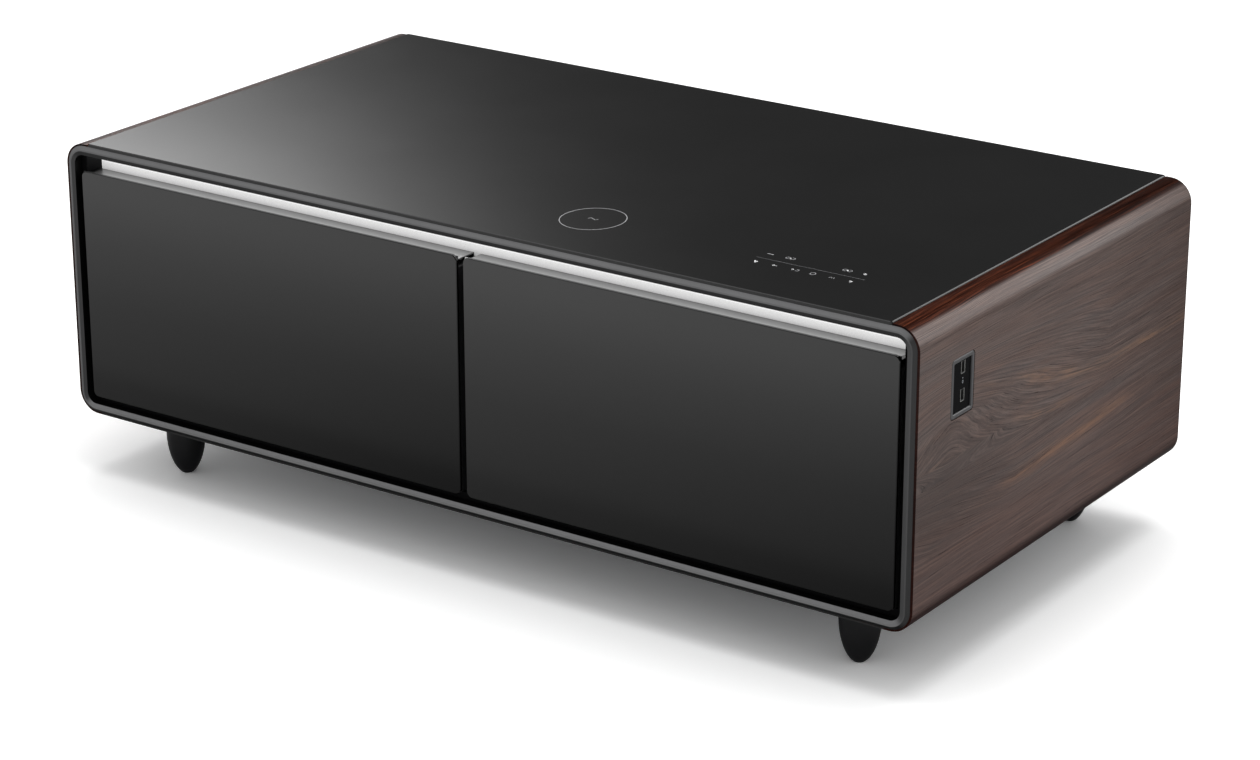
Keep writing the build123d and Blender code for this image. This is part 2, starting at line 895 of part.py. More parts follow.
def fan_impeller():
    # Hub cup on the shaft, with pitched blades drawn from the hub to the tip and turned round X
    x0 = fan_x - fan_thickness / 2 + fan_motor_length + running_gap
    middle_x = x0 + fan_hub_length / 2
    centre = (middle_x, machine_middle, base_top + fan_size / 2)
    hub = rod((x0, *centre[1:]), (1, 0, 0), fan_hub_radius, fan_hub_length)
    root_z = centre[2] + fan_hub_radius - fan_blade_thickness
    tip_z = centre[2] + fan_blade_radius
    root = Plane(origin=(middle_x, centre[1], root_z), x_dir=(1, 0, 0), z_dir=(0, 0, 1))
    tip = Plane(origin=(middle_x, centre[1], tip_z), x_dir=(1, 0, 0), z_dir=(0, 0, 1))
    root_outline = Rectangle(fan_blade_root_chord, fan_blade_thickness)
    tip_outline = Rectangle(fan_blade_tip_chord, fan_blade_thickness)
    root_section = root * (Rot(0, 0, fan_blade_root_angle) * root_outline)
    tip_section = tip * (Rot(0, 0, fan_blade_tip_angle) * tip_outline)
    blade = loft([root_section.face(), tip_section.face()], ruled=True)
    axis = Axis(centre, (1, 0, 0))
    blades = [blade.rotate(axis, index * 360 / fan_blade_count) for index in range(fan_blade_count)]
    impeller = hub + blades
    bore_radius = fan_shaft_radius + fan_shaft_gap
    return impeller - rod((x0, *centre[1:]), (1, 0, 0), bore_radius, fan_hub_length)


def control_box():
    x = control_length / 2
    y = control_width / 2
    box = block(
        control_x - x, control_x + x, machine_middle - y, machine_middle + y,
        base_top, base_top + control_height,
    )
    return fillet(box.edges().filter_by(Axis.Z), control_round)


def power_inlet():
    place = Pos(inlet_x, base_top + inlet_centre_height)
    outer = rear_outer + inlet_flange_thickness
    inlet = along_y(place * Rectangle(inlet_flange_length, inlet_flange_height), rear_outer, outer)
    body = Rectangle(inlet_body_length, inlet_body_height)
    inlet += along_y(place * body, rear_outer - inlet_body_depth, rear_outer)
    recess = RectangleRounded(inlet_recess_length, inlet_recess_height, inlet_recess_corner)
    bottom = outer - inlet_recess_depth
    inlet -= along_y(place * recess, bottom, outer)
    pin_places = (
        (-inlet_pin_spacing, -inlet_pin_offset),
        (0, inlet_pin_offset),
        (inlet_pin_spacing, -inlet_pin_offset),
    )
    for x, z in pin_places:
        pin = Pos(x, z) * Rectangle(inlet_pin_thickness, inlet_pin_width)
        inlet += along_y(place * pin, bottom, bottom + inlet_pin_length)
    return inlet


os.makedirs("parts", exist_ok=True)
save("front_frame", front_frame())
save("glass_top", glass_top())
save("top_deck", top_deck())
save("base_plate", base_plate())
save("rear_panel", rear_panel())
save("panel_screws", panel_screws())
save("foot_bolts", foot_bolts())
for corner, foot_x, foot_y in foot_places:
    save(f"foot_{corner}", foot(foot_x, foot_y))
save("front_surround", front_surround())
save("light_bar", light_bar())
save("light_diffuser", light_diffuser())
save("insulation_base", insulation_base())
save("insulation_top", insulation_top())
save("insulation_centre", insulation_centre())
save("insulation_rear", insulation_rear())
save("touch_board", touch_board())
save("charging_coil", charging_coil())
save("port_bezel", port_bezel())
save("port_housing", port_housing())
save("port_sockets", port_sockets())
save("compressor", compressor())
save("compressor_mounts", compressor_mounts())
save("condenser", condenser())
save("fan_shroud", fan_shroud())
save("fan_impeller", fan_impeller())
save("control_box", control_box())
save("power_inlet", power_inlet())
for side, hand in ((-1, "left"), (1, "right")):
    save(f"side_shell_{hand}", side_shell(side))
    save(f"insulation_{hand}", insulation_side(side))
    save(f"liner_{hand}", liner(side))
    save(f"cold_plate_{hand}", cold_plate(side))
    save(f"door_glass_{hand}", door_glass(side))
    save(f"door_panel_{hand}", door_panel(side))
    save(f"pull_{hand}", pull(side))
    save(f"seal_{hand}", seal(side))
    save(f"bin_{hand}", bin_tray(side))
    for place, wall_x, toward in (("inboard", room_inner, 1), ("outboard", room_outer, -1)):
        for member, solid in slide(wall_x, toward).items():
            save(f"slide_{member}_{hand}_{place}", mirror_to(side, solid))
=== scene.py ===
import bpy
import math
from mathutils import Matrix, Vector


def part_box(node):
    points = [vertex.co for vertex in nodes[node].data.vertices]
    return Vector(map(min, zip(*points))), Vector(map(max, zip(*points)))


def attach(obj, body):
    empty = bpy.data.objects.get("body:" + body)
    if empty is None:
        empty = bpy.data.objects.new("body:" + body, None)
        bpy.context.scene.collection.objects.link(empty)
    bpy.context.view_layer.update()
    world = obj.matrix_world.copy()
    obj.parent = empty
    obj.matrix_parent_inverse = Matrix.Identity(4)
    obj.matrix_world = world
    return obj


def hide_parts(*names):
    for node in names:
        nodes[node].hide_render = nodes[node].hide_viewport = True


# Refrigerator coffee table: finishes, small visual pieces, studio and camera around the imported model.
# Metres, origin on the floor under the middle of the table, drawers toward -Y, +Z up.

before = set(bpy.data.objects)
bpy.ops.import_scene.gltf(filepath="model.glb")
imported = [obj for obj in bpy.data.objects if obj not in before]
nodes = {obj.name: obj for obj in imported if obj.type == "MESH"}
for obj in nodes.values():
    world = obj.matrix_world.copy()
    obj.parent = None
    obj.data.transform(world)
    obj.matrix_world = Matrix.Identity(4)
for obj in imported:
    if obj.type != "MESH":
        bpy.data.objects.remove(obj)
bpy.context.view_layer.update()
print("frame loaded:", len(nodes), "nodes")


# Node helpers

noiseSpan = (0.3, 0.7)  # most of a noise's values lie between these


def fill(tree, node, inputs):
    # A value that is a socket gets linked, any other value is set on the input itself
    for key, value in inputs.items():
        if isinstance(value, bpy.types.NodeSocket):
            tree.links.new(value, node.inputs[key])
        else:
            node.inputs[key].default_value = value


def put(tree, kind, inputs=None, **settings):
    node = tree.nodes.new(kind)
    for key, value in settings.items():
        setattr(node, key, value)
    fill(tree, node, inputs or {})
    return node


def make(tree, kind, inputs=None, **settings):
    return put(tree, kind, inputs, **settings).outputs[0]


def calc(tree, operation, *values, clamp=False):
    return make(tree, "ShaderNodeMath", dict(enumerate(values)), operation=operation, use_clamp=clamp)


def plus(tree, total, *others):
    for other in others:
        total = calc(tree, "ADD", total, other)
    return total


def times(tree, total, *others):
    for other in others:
        total = calc(tree, "MULTIPLY", total, other)
    return total


def minus(tree, first, second):
    return calc(tree, "SUBTRACT", first, second)


def most(tree, first, second):
    return calc(tree, "MAXIMUM", first, second)


def bell(tree, squares):
    return calc(tree, "EXPONENT", times(tree, squares, -1.0))


def vectorOf(tree, x=0.0, y=0.0, z=0.0):
    return make(tree, "ShaderNodeCombineXYZ", {"X": x, "Y": y, "Z": z})


def mapped(tree, vector, scale, shift=(0, 0, 0)):
    return make(tree, "ShaderNodeMapping", {"Vector": vector, "Scale": scale, "Location": shift})


def objectPoint(tree, scale=(1, 1, 1), shift=(0, 0, 0)):
    return mapped(tree, put(tree, "ShaderNodeTexCoord").outputs["Object"], scale, shift)


def axes(tree, point=None):
    point = objectPoint(tree) if point is None else point
    return put(tree, "ShaderNodeSeparateXYZ", {"Vector": point}).outputs


def noise(tree, vector, scale, detail=3.0, roughness=0.55):
    inputs = {"Vector": vector, "Scale": scale, "Detail": detail, "Roughness": roughness}
    return put(tree, "ShaderNodeTexNoise", inputs).outputs["Fac"]


def rgba(color):
    # A single number is a grey
    return (color, color, color, 1) if isinstance(color, (int, float)) else (*color[:3], 1)


def scaled(color, share):
    return [min(channel * share, 1) for channel in color]


def ramp(tree, source, stops):
    node = put(tree, "ShaderNodeValToRGB", {"Fac": source})
    band = node.color_ramp
    while len(band.elements) < len(stops):
        band.elements.new(0.5)
    for element, (place, color) in zip(band.elements, stops):
        element.position = place
        element.color = rgba(color)
    return node.outputs["Color"]


def remap(tree, source, fromLow, fromHigh, toLow=0.0, toHigh=1.0, smooth=False):
    inputs = {"Value": source, "From Min": fromLow, "From Max": fromHigh,
              "To Min": toLow, "To Max": toHigh}
    kind = "SMOOTHSTEP" if smooth else "LINEAR"
    return put(tree, "ShaderNodeMapRange", inputs, interpolation_type=kind).outputs["Result"]


def tint(tree, source, low, high):
    return ramp(tree, source, [(noiseSpan[0], low), (noiseSpan[1], high)])


def swing(tree, source, low, high):
    return remap(tree, source, *noiseSpan, low, high)


def mixNumber(tree, factor, first, second):
    return make(tree, "ShaderNodeMix", {0: factor, 2: first, 3: second})


def mixColor(tree, factor, first, second, mode="MIX"):
    first, second = [value if isinstance(value, bpy.types.NodeSocket) else rgba(value)
                     for value in (first, second)]
    return put(tree, "ShaderNodeMix", {0: factor, 6: first, 7: second},
               data_type="RGBA", blend_type=mode).outputs[2]


def greyOf(tree, level):
    return make(tree, "ShaderNodeCombineColor", {"Red": level, "Green": level, "Blue": level})


def bump(tree, shader, height, depth):
    node = put(tree, "ShaderNodeBump", {"Height": height, "Distance": depth, "Strength": 1.0})
    tree.links.new(node.outputs["Normal"], shader.inputs["Normal"])


def newMaterial(name):
    material = bpy.data.materials.new(name)
    material.use_nodes = True
    tree = material.node_tree
    return material, tree, tree.nodes["Principled BSDF"]


# Plain finishes: each table gives a finish's name and its values

plastics = {
    "surroundPlastic": {"color": (0.003, 0.003, 0.0034), "specular": 0.3, "ior": 1.2},
    "housingPlastic": {"color": (0.004, 0.004, 0.0045), "roughness": 0.4, "specular": 0.3, "ior": 1.12},
    "linerPlastic": {"color": (0.52, 0.525, 0.54), "roughness": 0.35, "mottle": 0.04},
    "binPlastic": {"color": (0.64, 0.645, 0.655), "roughness": 0.32, "mottle": 0.04},
    "doorCore": {"color": (0.015, 0.015, 0.016), "roughness": 0.5, "grain": 0.0001, "grainScale": 600},
    "fanPlastic": {"color": (0.016, 0.016, 0.017), "roughness": 0.42},
    "controlPlastic": {"color": (0.5, 0.5, 0.48), "mottle": 0.05},
    "inletPlastic": {"color": (0.014, 0.014, 0.015)},
    "printInk": {"color": (0.36, 0.36, 0.37), "roughness": 0.5, "mottle": 0.08},
    "boldInk": {"color": (0.72, 0.72, 0.73), "roughness": 0.5, "mottle": 0.05},
    "faintInk": {"color": (0.1, 0.1, 0.105), "roughness": 0.5, "mottle": 0.08},
    "lampLens": {"color": (0.35, 0.37, 0.4), "roughness": 0.25, "mottle": 0.05},
}


def mouldedPlastic(name, color, roughness=0.45, grain=0.00004, grainScale=1800, mottle=0.12,
                   specular=0.5, ior=1.5):
    # Spark-eroded mould grain, with a faint uneven gloss
    material, tree, shader = newMaterial(name)
    point = objectPoint(tree)
    cloud = noise(tree, point, 9, detail=4)
    fill(tree, shader, {
        "Base Color": tint(tree, cloud, scaled(color, 1 - mottle), scaled(color, 1 + mottle)),
        "Roughness": swing(tree, cloud, roughness - 0.04, roughness + 0.05),
        "Specular IOR Level": specular, "IOR": ior})
    bump(tree, shader, noise(tree, point, grainScale, detail=2), grain)
    return material


paints = {
    "footLacquer": {"color": (0.007, 0.007, 0.008), "roughness": 0.32},
    "rearPaint": {"color": (0.016, 0.016, 0.017), "roughness": 0.5, "peel": 0.00008, "peelScale": 1100},
    "bezelMetal": {"color": (0.07, 0.07, 0.073), "roughness": 0.35, "metallic": 0.3},
    "compressorEnamel": {"color": (0.01, 0.01, 0.011), "roughness": 0.28},
    "lipMetal": {"color": (0.3, 0.3, 0.29), "roughness": 0.3, "metallic": 0.6},
}


def satinPaint(name, color, roughness, metallic=0.0, peel=0.00003, peelScale=700):
    material, tree, shader = newMaterial(name)
    point = objectPoint(tree)
    fill(tree, shader, {
        "Base Color": tint(tree, noise(tree, point, 6, detail=5), scaled(color, 0.92), scaled(color, 1.08)),
        "Roughness": swing(tree, noise(tree, point, 60), roughness - 0.03, roughness + 0.04),
        "Metallic": metallic})
    bump(tree, shader, noise(tree, point, peelScale, detail=2), peel)
    return material


metals = {
    "screwSteel": {"color": (0.5, 0.5, 0.52), "along": "x", "roughness": 0.35},
    "slideZinc": {"color": (0.55, 0.56, 0.58), "along": "y", "roughness": 0.32},
}
brushLines = {"across": 2600, "along": 14, "depth": 0.00001}


def brushedLines(tree, along):
    # Fine lines that run along one axis: x, y or z
    stretch = [brushLines["across"]] * 3
    stretch["xyz".index(along)] = brushLines["along"]
    return noise(tree, objectPoint(tree, scale=stretch), 1)


def brushedMetal(name, color, along, roughness):
    material, tree, shader = newMaterial(name)
    lines = brushedLines(tree, along)
    fill(tree, shader, {
        "Base Color": tint(tree, lines, scaled(color, 0.82), color),
        "Roughness": swing(tree, noise(tree, objectPoint(tree), 12), roughness - 0.05, roughness + 0.07),
        "Metallic": 1.0})
    bump(tree, shader, lines, brushLines["depth"])
    return material


rubbers = {"sealRubber": {"color": 0.012}, "mountRubber": {"color": 0.02}}


def softRubber(name, color, roughness=0.6):
    material, tree, shader = newMaterial(name)
    point = objectPoint(tree)
    dust = noise(tree, point, 22, detail=5)
    fill(tree, shader, {
        "Base Color": ramp(tree, dust, [(0.35, color), (0.75, color * 1.7)]),
        "Roughness": swing(tree, dust, roughness - 0.05, roughness + 0.1)})
    bump(tree, shader, noise(tree, point, 1400), 0.00003)
    return material


sheets = {"zincSheet": {}, "basePlateSheet": {"shadedFrontY": -0.328}}


def galvanisedSheet(name, shadedFrontY=None):
    # Crystal spangle; the front edge under the frame is painted black as painted shade
    material, tree, shader = newMaterial(name)
    cells = put(tree, "ShaderNodeTexVoronoi",
                {"Vector": objectPoint(tree), "Scale": 110, "Randomness": 1.0}).outputs
    tone = put(tree, "ShaderNodeSeparateColor", {"Color": cells["Color"]}).outputs["Red"]
    color = ramp(tree, tone, [(0, (0.36, 0.37, 0.39)), (1, (0.56, 0.57, 0.59))])
    metallic = 0.9
    if shadedFrontY is not None:
        # Painted shade: black along the front edge stands in for the shade under the frame
        painted = calc(tree, "LESS_THAN", axes(tree)["Y"], shadedFrontY)
        color = mixColor(tree, painted, color, 0.012)
        metallic = remap(tree, painted, 0, 1, 0.9, 0.0)
    fill(tree, shader, {
        "Base Color": color, "Roughness": remap(tree, tone, 0, 1, 0.32, 0.5), "Metallic": metallic})
    bump(tree, shader, cells["Distance"], 0.00004)
    return material


# Walnut foil of the side shells. Lengths run across the foil, along Y or up Z

walnut = {
    "cornerRadius": 0.03, "cornerX": 0.62, "cornerTopZ": 0.438, "cornerBottomZ": 0.12,
    "figureHeight": 0.266, "upperBlend": 0.02, "fallStart": (0.05, 0.09), "fallEnd": (0.11, 0.17),
    "eyePlace": -0.2575, "eyeRound": 0.03, "eyeLength": 0.36, "eyeSwell": 0.072,
    "lowerStart": -0.3425, "lowerPlace": -0.1025, "lowerEnd": 0.2575,
    "lowerSwell": 0.023, "lowerDip": -0.017, "lowerRound": 0.012,
    "calmReach": 0.065, "calmShare": 0.32,
    "sideShift": 0.37, "driftScale": (11, 3.2, 1), "driftReach": 0.013,
    "noises": {
        "fibres": {"scale": (1150, 8, 45), "detail": 5, "roughness": 0.74},
        "broad": {"scale": (85, 2.2, 45), "detail": 4},
        "curl": {"scale": (40, 9, 45), "detail": 2},
        "hue": {"scale": (45, 2.4, 45), "detail": 5, "roughness": 0.65},
        "patches": {"scale": (130, 11, 45), "detail": 4, "roughness": 0.6},
        "loose": {"scale": (60, 4, 45), "detail": 4, "roughness": 0.6},
        "pores": {"scale": (1300, 45, 300), "detail": 2},
    },
    "ringSpacing": 0.0058, "ringCurl": 7.0, "ringSwell": (0.002, 0.03), "ringDepth": (0.012, 0.036),
    "fibreShare": 1.4, "broadShare": 0.08, "toneShift": 0.23,
    "hueSpan": (0.32, 0.66),
    "grey": [(0.32, (0.061, 0.046, 0.042)), (0.5, (0.094, 0.071, 0.066)), (0.68, (0.16, 0.123, 0.112))],
    "red": [(0.32, (0.065, 0.04, 0.033)), (0.5, (0.106, 0.067, 0.057)), (0.68, (0.185, 0.122, 0.1))],
    "orange": (0.33, 0.18, 0.105),
    "veins": [
        {"centre": 0.0255, "width": 0.005, "fadeIn": (-0.24, -0.02), "fadeOut": (0.3, 0.5),
         "side": "GREATER_THAN"},
        {"centre": 0.038, "width": 0.0085, "fadeIn": (-0.15, -0.07), "fadeOut": (0.08, 0.27),
         "side": "LESS_THAN"},
        {"centre": -0.002, "width": 0.003, "fadeIn": (-0.12, -0.05), "fadeOut": (0.0, 0.05),
         "side": "GREATER_THAN"},
    ],
    "patchSpan": (0.4, 0.6), "patchLeast": 0.15,
    "looseSpan": (0.6, 0.76), "looseShare": 0.25,
    "veinSpan": (0.38, 0.6), "veinShare": (0.1, 0.85),
    "eyeDark": {"across": -0.02, "along": -0.3, "high": 0.075, "long": 0.2, "share": 0.5},
    "pore": (0.026, 0.02, 0.019), "poreSpan": (0.6, 0.7), "poreShare": 0.3,
    "strip": [(0.36, (0.11, 0.035, 0.022)), (0.51, (0.25, 0.1, 0.062)), (0.64, (0.8, 0.3, 0.15))],
    "stripEdge": (0.463, 0.469), "stripShadeFade": (-0.15, 0.05), "stripRearShade": 0.62,
    "rearShadeFade": (0.05, 0.34), "rearShade": 0.78,
    "lowShadeFade": (0.3, 0.1), "lowShade": (0.92, 0.8, 0.78),
    "underEdge": (0.124, 0.107), "frontRim": (-0.3388, -0.3384), "rearRim": (0.3405, 0.3423),
    "rimShade": (0.2, 0.09, 0.075),
    "roughness": 0.3, "specular": 0.2, "rearSpecular": 0.06, "rimSpecular": 0.05,
    "relief": 0.00005, "fibreRelief": 0.6,
}


def walnutFoil():
    # The foil is wrapped round the shell, so the grain's cross coordinate follows the surface
    material, tree, shader = newMaterial("walnutFoil")
    w = walnut
    top, bottom = w["cornerTopZ"], w["cornerBottomZ"]
    x, y, z = axes(tree)
    wide = calc(tree, "ABSOLUTE", x)
    out = most(tree, minus(tree, wide, w["cornerX"]), 0.0)
    inward = most(tree, minus(tree, w["cornerX"], wide), 0.0)
    above = most(tree, minus(tree, z, top), 0.0)
    below = most(tree, minus(tree, bottom, z), 0.0)
    upright = calc(tree, "MINIMUM", most(tree, z, bottom), top)
    topTurn = times(tree, calc(tree, "ARCTAN2", above, out), w["cornerRadius"])
    lowTurn = times(tree, calc(tree, "ARCTAN2", below, out), w["cornerRadius"])
    half = calc(tree, "SIGN", minus(tree, z, (top + bottom) / 2))
    across = plus(tree, upright, minus(tree, topTurn, lowTurn), times(tree, inward, half))

    # Grain lines run straight, and part round an eye near the front
    offset = minus(tree, across, w["figureHeight"])
    distance = calc(tree, "ABSOLUTE", offset)
    upper = remap(tree, offset, -w["upperBlend"], w["upperBlend"])
    fallStart = remap(tree, upper, 0, 1, *w["fallStart"])
    fallEnd = remap(tree, upper, 0, 1, *w["fallEnd"])
    along = minus(tree, y, w["eyePlace"])
    along = calc(tree, "SQRT", plus(tree, times(tree, along, along), w["eyeRound"] ** 2))
    high = remap(tree, along, w["eyeRound"], w["eyeRound"] + w["eyeLength"], w["eyeSwell"], 0.0)
    rising = remap(tree, y, w["lowerStart"], w["lowerPlace"], w["lowerDip"], w["lowerSwell"])
    falling = remap(tree, y, w["lowerPlace"], w["lowerEnd"], w["lowerSwell"], 0.0)
    low = calc(tree, "SMOOTH_MIN", rising, falling, w["lowerRound"])
    swell = plus(tree, times(tree, high, upper), times(tree, low, minus(tree, 1.0, upper)))
    swell = times(tree, swell, remap(tree, distance, 0.0, w["calmReach"], w["calmShare"], 1.0),
                  remap(tree, distance, fallStart, fallEnd, 1.0, 0.0, smooth=True))
    side = times(tree, calc(tree, "SIGN", x), w["sideShift"])
    drifting = mapped(tree, vectorOf(tree, across, y, side), w["driftScale"])
    drift = minus(tree, noise(tree, drifting, 1, roughness=0.5), 0.5)
    line = plus(tree, minus(tree, distance, swell), times(tree, drift, w["driftReach"]))
    grain = vectorOf(tree, line, y, plus(tree, offset, side))

    def grainNoise(name):
        size = w["noises"][name]
        return noise(tree, mapped(tree, grain, size["scale"]), 1, size["detail"],
                     size.get("roughness", 0.55))

    fibres = grainNoise("fibres")
    turns = plus(tree, times(tree, line, 2 * math.pi / w["ringSpacing"]),
                 times(tree, grainNoise("curl"), w["ringCurl"]))
    rings = times(tree, calc(tree, "SINE", turns), remap(tree, swell, *w["ringSwell"], *w["ringDepth"]))
    tone = plus(tree, times(tree, fibres, w["fibreShare"]),
                times(tree, grainNoise("broad"), w["broadShare"]), rings)
    tone = minus(tree, tone, w["toneShift"])
    hue = remap(tree, grainNoise("hue"), *w["hueSpan"])
    color = mixColor(tree, hue, ramp(tree, tone, w["grey"]), ramp(tree, tone, w["red"]))

    # Orange heartwood: two veins above the eye's line, one below, and a few loose ones
    def vein(size):
        place = calc(tree, "DIVIDE", minus(tree, line, size["centre"]), size["width"])
        return times(tree, bell(tree, times(tree, place, place)),
                     remap(tree, y, *size["fadeIn"]),
                     remap(tree, y, *size["fadeOut"], 1.0, 0.0),
                     calc(tree, size["side"], offset, 0.0))

    veins = times(tree, plus(tree, *[vein(size) for size in w["veins"]]),
                  remap(tree, grainNoise("patches"), *w["patchSpan"], w["patchLeast"], 1.0))
    veins = plus(tree, veins, remap(tree, grainNoise("loose"), *w["looseSpan"], 0.0, w["looseShare"]))
    veins = calc(tree, "MULTIPLY", veins, remap(tree, fibres, *w["veinSpan"], *w["veinShare"]), clamp=True)
    color = mixColor(tree, veins, color, w["orange"])

    # The pores are dark, and so is the wood round the eye
    eye = w["eyeDark"]
    heart = 0.0
    for source, middle, reach in ((offset, eye["across"], eye["high"]),
                                  (y, eye["along"], eye["long"])):
        part = calc(tree, "DIVIDE", minus(tree, source, middle), reach)
        heart = plus(tree, times(tree, part, part), heart)
    heart = times(tree, bell(tree, heart), eye["share"])
    pores = remap(tree, grainNoise("pores"), *w["poreSpan"], 0.0, w["poreShare"])
    color = mixColor(tree, calc(tree, "ADD", heart, pores, clamp=True), color, w["pore"])

    # The flat strip beside the glass is a deeper, streaked red, painted darker where the top gets less
    # light as painted shade; the rims round the shell are painted shade, dark and dull
    strip = remap(tree, across, *w["stripEdge"], smooth=True)
    # The strip is also painted darker toward the rear, as painted shade
    stripStreaksAndShade = mixColor(tree, remap(tree, y, *w["stripShadeFade"]),
                       ramp(tree, fibres, w["strip"]), w["stripRearShade"], "MULTIPLY")
    under = remap(tree, across, *w["underEdge"], smooth=True)
    frontRim = remap(tree, y, *w["frontRim"], 1.0, 0.0)
    rearRim = remap(tree, y, *w["rearRim"])
    rim = most(tree, under, most(tree, frontRim, rearRim))
    # Painted shade: the wood is darker toward the rear, and darker and redder toward the bottom
    rearward = remap(tree, y, *w["rearShadeFade"])
    lower = remap(tree, z, *w["lowShadeFade"])
    for mask, shade in ((strip, stripStreaksAndShade), (rearward, w["rearShade"]), (lower, w["lowShade"]),
                        (rim, w["rimShade"])):
        color = mixColor(tree, mask, color, shade, "MULTIPLY")
    gloss = remap(tree, rearward, 0, 1, w["specular"], w["rearSpecular"])
    fill(tree, shader, {
        "Base Color": color,
        "Roughness": swing(tree, fibres, w["roughness"] - 0.05, w["roughness"] + 0.08),
        "Specular IOR Level": remap(tree, most(tree, strip, rim), 0, 1, gloss, w["rimSpecular"])})
    bump(tree, shader, minus(tree, times(tree, fibres, w["fibreRelief"]), pores), w["relief"])
    return material


# Black-coated tempered glass of the top and the doors

panes = {
    "topGlass": {"tone": 0.012, "groundZ": 0.4690, "side": "LESS_THAN"},
    "doorGlass": {"tone": None, "groundZ": 0.4302, "side": "GREATER_THAN"},
}
paneFinish = {"roughness": 0.07, "groundRoughness": 0.45, "ripple": 0.0000012}
doorGradient = {"leftTone": 0.0135, "rightTone": 0.001, "inner": 0.005, "outer": 0.6246}


def doorTone(tree):
    # Each pane's base colour goes from lighter at its left side to darker at its right
    inner, outer = doorGradient["inner"], doorGradient["outer"]
    x = axes(tree)["X"]
    x = plus(tree, x, times(tree, calc(tree, "LESS_THAN", x, 0.0), outer + inner))
    return ramp(tree, remap(tree, x, inner, outer),
                [(0, doorGradient["leftTone"]), (1, doorGradient["rightTone"])])


def blackGlass(name, tone, groundZ, side):
    # Past groundZ the edge is ground, not polished
    material, tree, shader = newMaterial(name)
    point = objectPoint(tree)
    haze = noise(tree, point, 5, detail=4)
    rough = swing(tree, haze, paneFinish["roughness"] - 0.012, paneFinish["roughness"] + 0.02)
    ground = calc(tree, side, axes(tree, point)["Z"], groundZ)
    fill(tree, shader, {
        "Base Color": doorTone(tree) if tone is None else tint(tree, haze, tone * 0.94, tone * 1.06),
        "Roughness": plus(tree, rough, times(tree, ground, paneFinish["groundRoughness"])), "IOR": 1.5})
    bump(tree, shader, noise(tree, point, 900, detail=2), paneFinish["ripple"])
    return material


# Front frame. Each zone's tones are for the outer facet, the flat and the inner facet

frameShade = {
    "halfWidth": 0.6467, "halfHeight": 0.1866, "middleZ": 0.279, "corner": 0.0267,
    "outerEdge": 0.0046, "innerEdge": 0.0066, "edgeBlend": 0.0002, "turnBlend": 0.008,
    "top": (1.05, 1.0, 0.16),
    "bottom": (0.06, 1.3, 1.3),
    "left": (0.75, 0.85, 0.3),
    "right": (0.26, 0.5, 0.42),
    "wallY": -0.3412, "wallShade": 0.02,
    "light": (0.138, 0.138, 0.141), "dark": (0.118, 0.118, 0.12),
    "roughness": (0.34, 0.42), "specular": 0.18, "peel": 0.00003,
}


def framePaint():
    # Satin powder coat. The facets carry painted light and shade, with other tones on each side as they
    # turn toward or from the lamps
    material, tree, shader = newMaterial("framePaint")
    f = frameShade
    point = objectPoint(tree)
    xyz = axes(tree, point)
    x = minus(tree, calc(tree, "ABSOLUTE", xyz["X"]), f["halfWidth"] - f["corner"])
    rise = minus(tree, xyz["Z"], f["middleZ"])
    z = minus(tree, calc(tree, "ABSOLUTE", rise), f["halfHeight"] - f["corner"])
    outX = most(tree, x, 0.0)
    outZ = most(tree, z, 0.0)
    reach = calc(tree, "SQRT", plus(tree, times(tree, outX, outX), times(tree, outZ, outZ)))
    reach = plus(tree, reach, calc(tree, "MINIMUM", most(tree, x, z), 0.0))
    inset = minus(tree, f["corner"], reach)
    upright = remap(tree, minus(tree, x, z), -f["turnBlend"], f["turnBlend"], smooth=True)
    right = calc(tree, "GREATER_THAN", xyz["X"], 0.0)
    above = calc(tree, "GREATER_THAN", rise, 0.0)
    zones = []
    for zone in range(3):
        level = remap(tree, above, 0, 1, f["bottom"][zone], f["top"][zone])
        beside = remap(tree, right, 0, 1, f["left"][zone], f["right"][zone])
        zones.append(mixNumber(tree, upright, level, beside))
    flat, inner = [remap(tree, inset, edge - f["edgeBlend"], edge + f["edgeBlend"])
                   for edge in (f["outerEdge"], f["innerEdge"])]
    shade = mixNumber(tree, inner, mixNumber(tree, flat, zones[0], zones[1]), zones[2])
    # Painted shade: the frame's inner wall in the recess is painted near black
    wall = times(tree, inner, calc(tree, "GREATER_THAN", xyz["Y"], f["wallY"]))
    shade = mixNumber(tree, wall, shade, f["wallShade"])
    body = tint(tree, noise(tree, point, 6, detail=5), f["dark"], f["light"])
    fill(tree, shader, {
        "Base Color": mixColor(tree, 1.0, body, greyOf(tree, shade), "MULTIPLY"),
        "Roughness": swing(tree, noise(tree, point, 60), *f["roughness"]),
        "Specular IOR Level": f["specular"]})
    bump(tree, shader, noise(tree, point, 700, detail=2), f["peel"])
    return material


stripGlow = {
    "bottomZ": 0.4240, "topZ": 0.4390,
    "stops": [(0.0, 0.3), (0.13, 0.42), (0.4, 0.53), (0.67, 0.6), (0.87, 0.76), (1.0, 1.05)],
    "speckle": 1500, "speckleGlow": (0.9, 1.08), "speckleTone": (0.22, 0.3),
    "light": (1.0, 0.995, 0.99, 1), "roughness": 0.45,
}


def lightStrip():
    # Edge-lit strip: brightest along its top edge, with a fine speckle
    material, tree, shader = newMaterial("lightStrip")
    point = objectPoint(tree)
    share = remap(tree, axes(tree, point)["Z"], stripGlow["bottomZ"], stripGlow["topZ"])
    speckle = noise(tree, point, stripGlow["speckle"], detail=2)
    fill(tree, shader, {
        "Base Color": tint(tree, speckle, *stripGlow["speckleTone"]),
        "Emission Color": stripGlow["light"],
        "Emission Strength": times(tree, ramp(tree, share, stripGlow["stops"]),
                                   swing(tree, speckle, *stripGlow["speckleGlow"])),
        "Roughness": stripGlow["roughness"]})
    return material


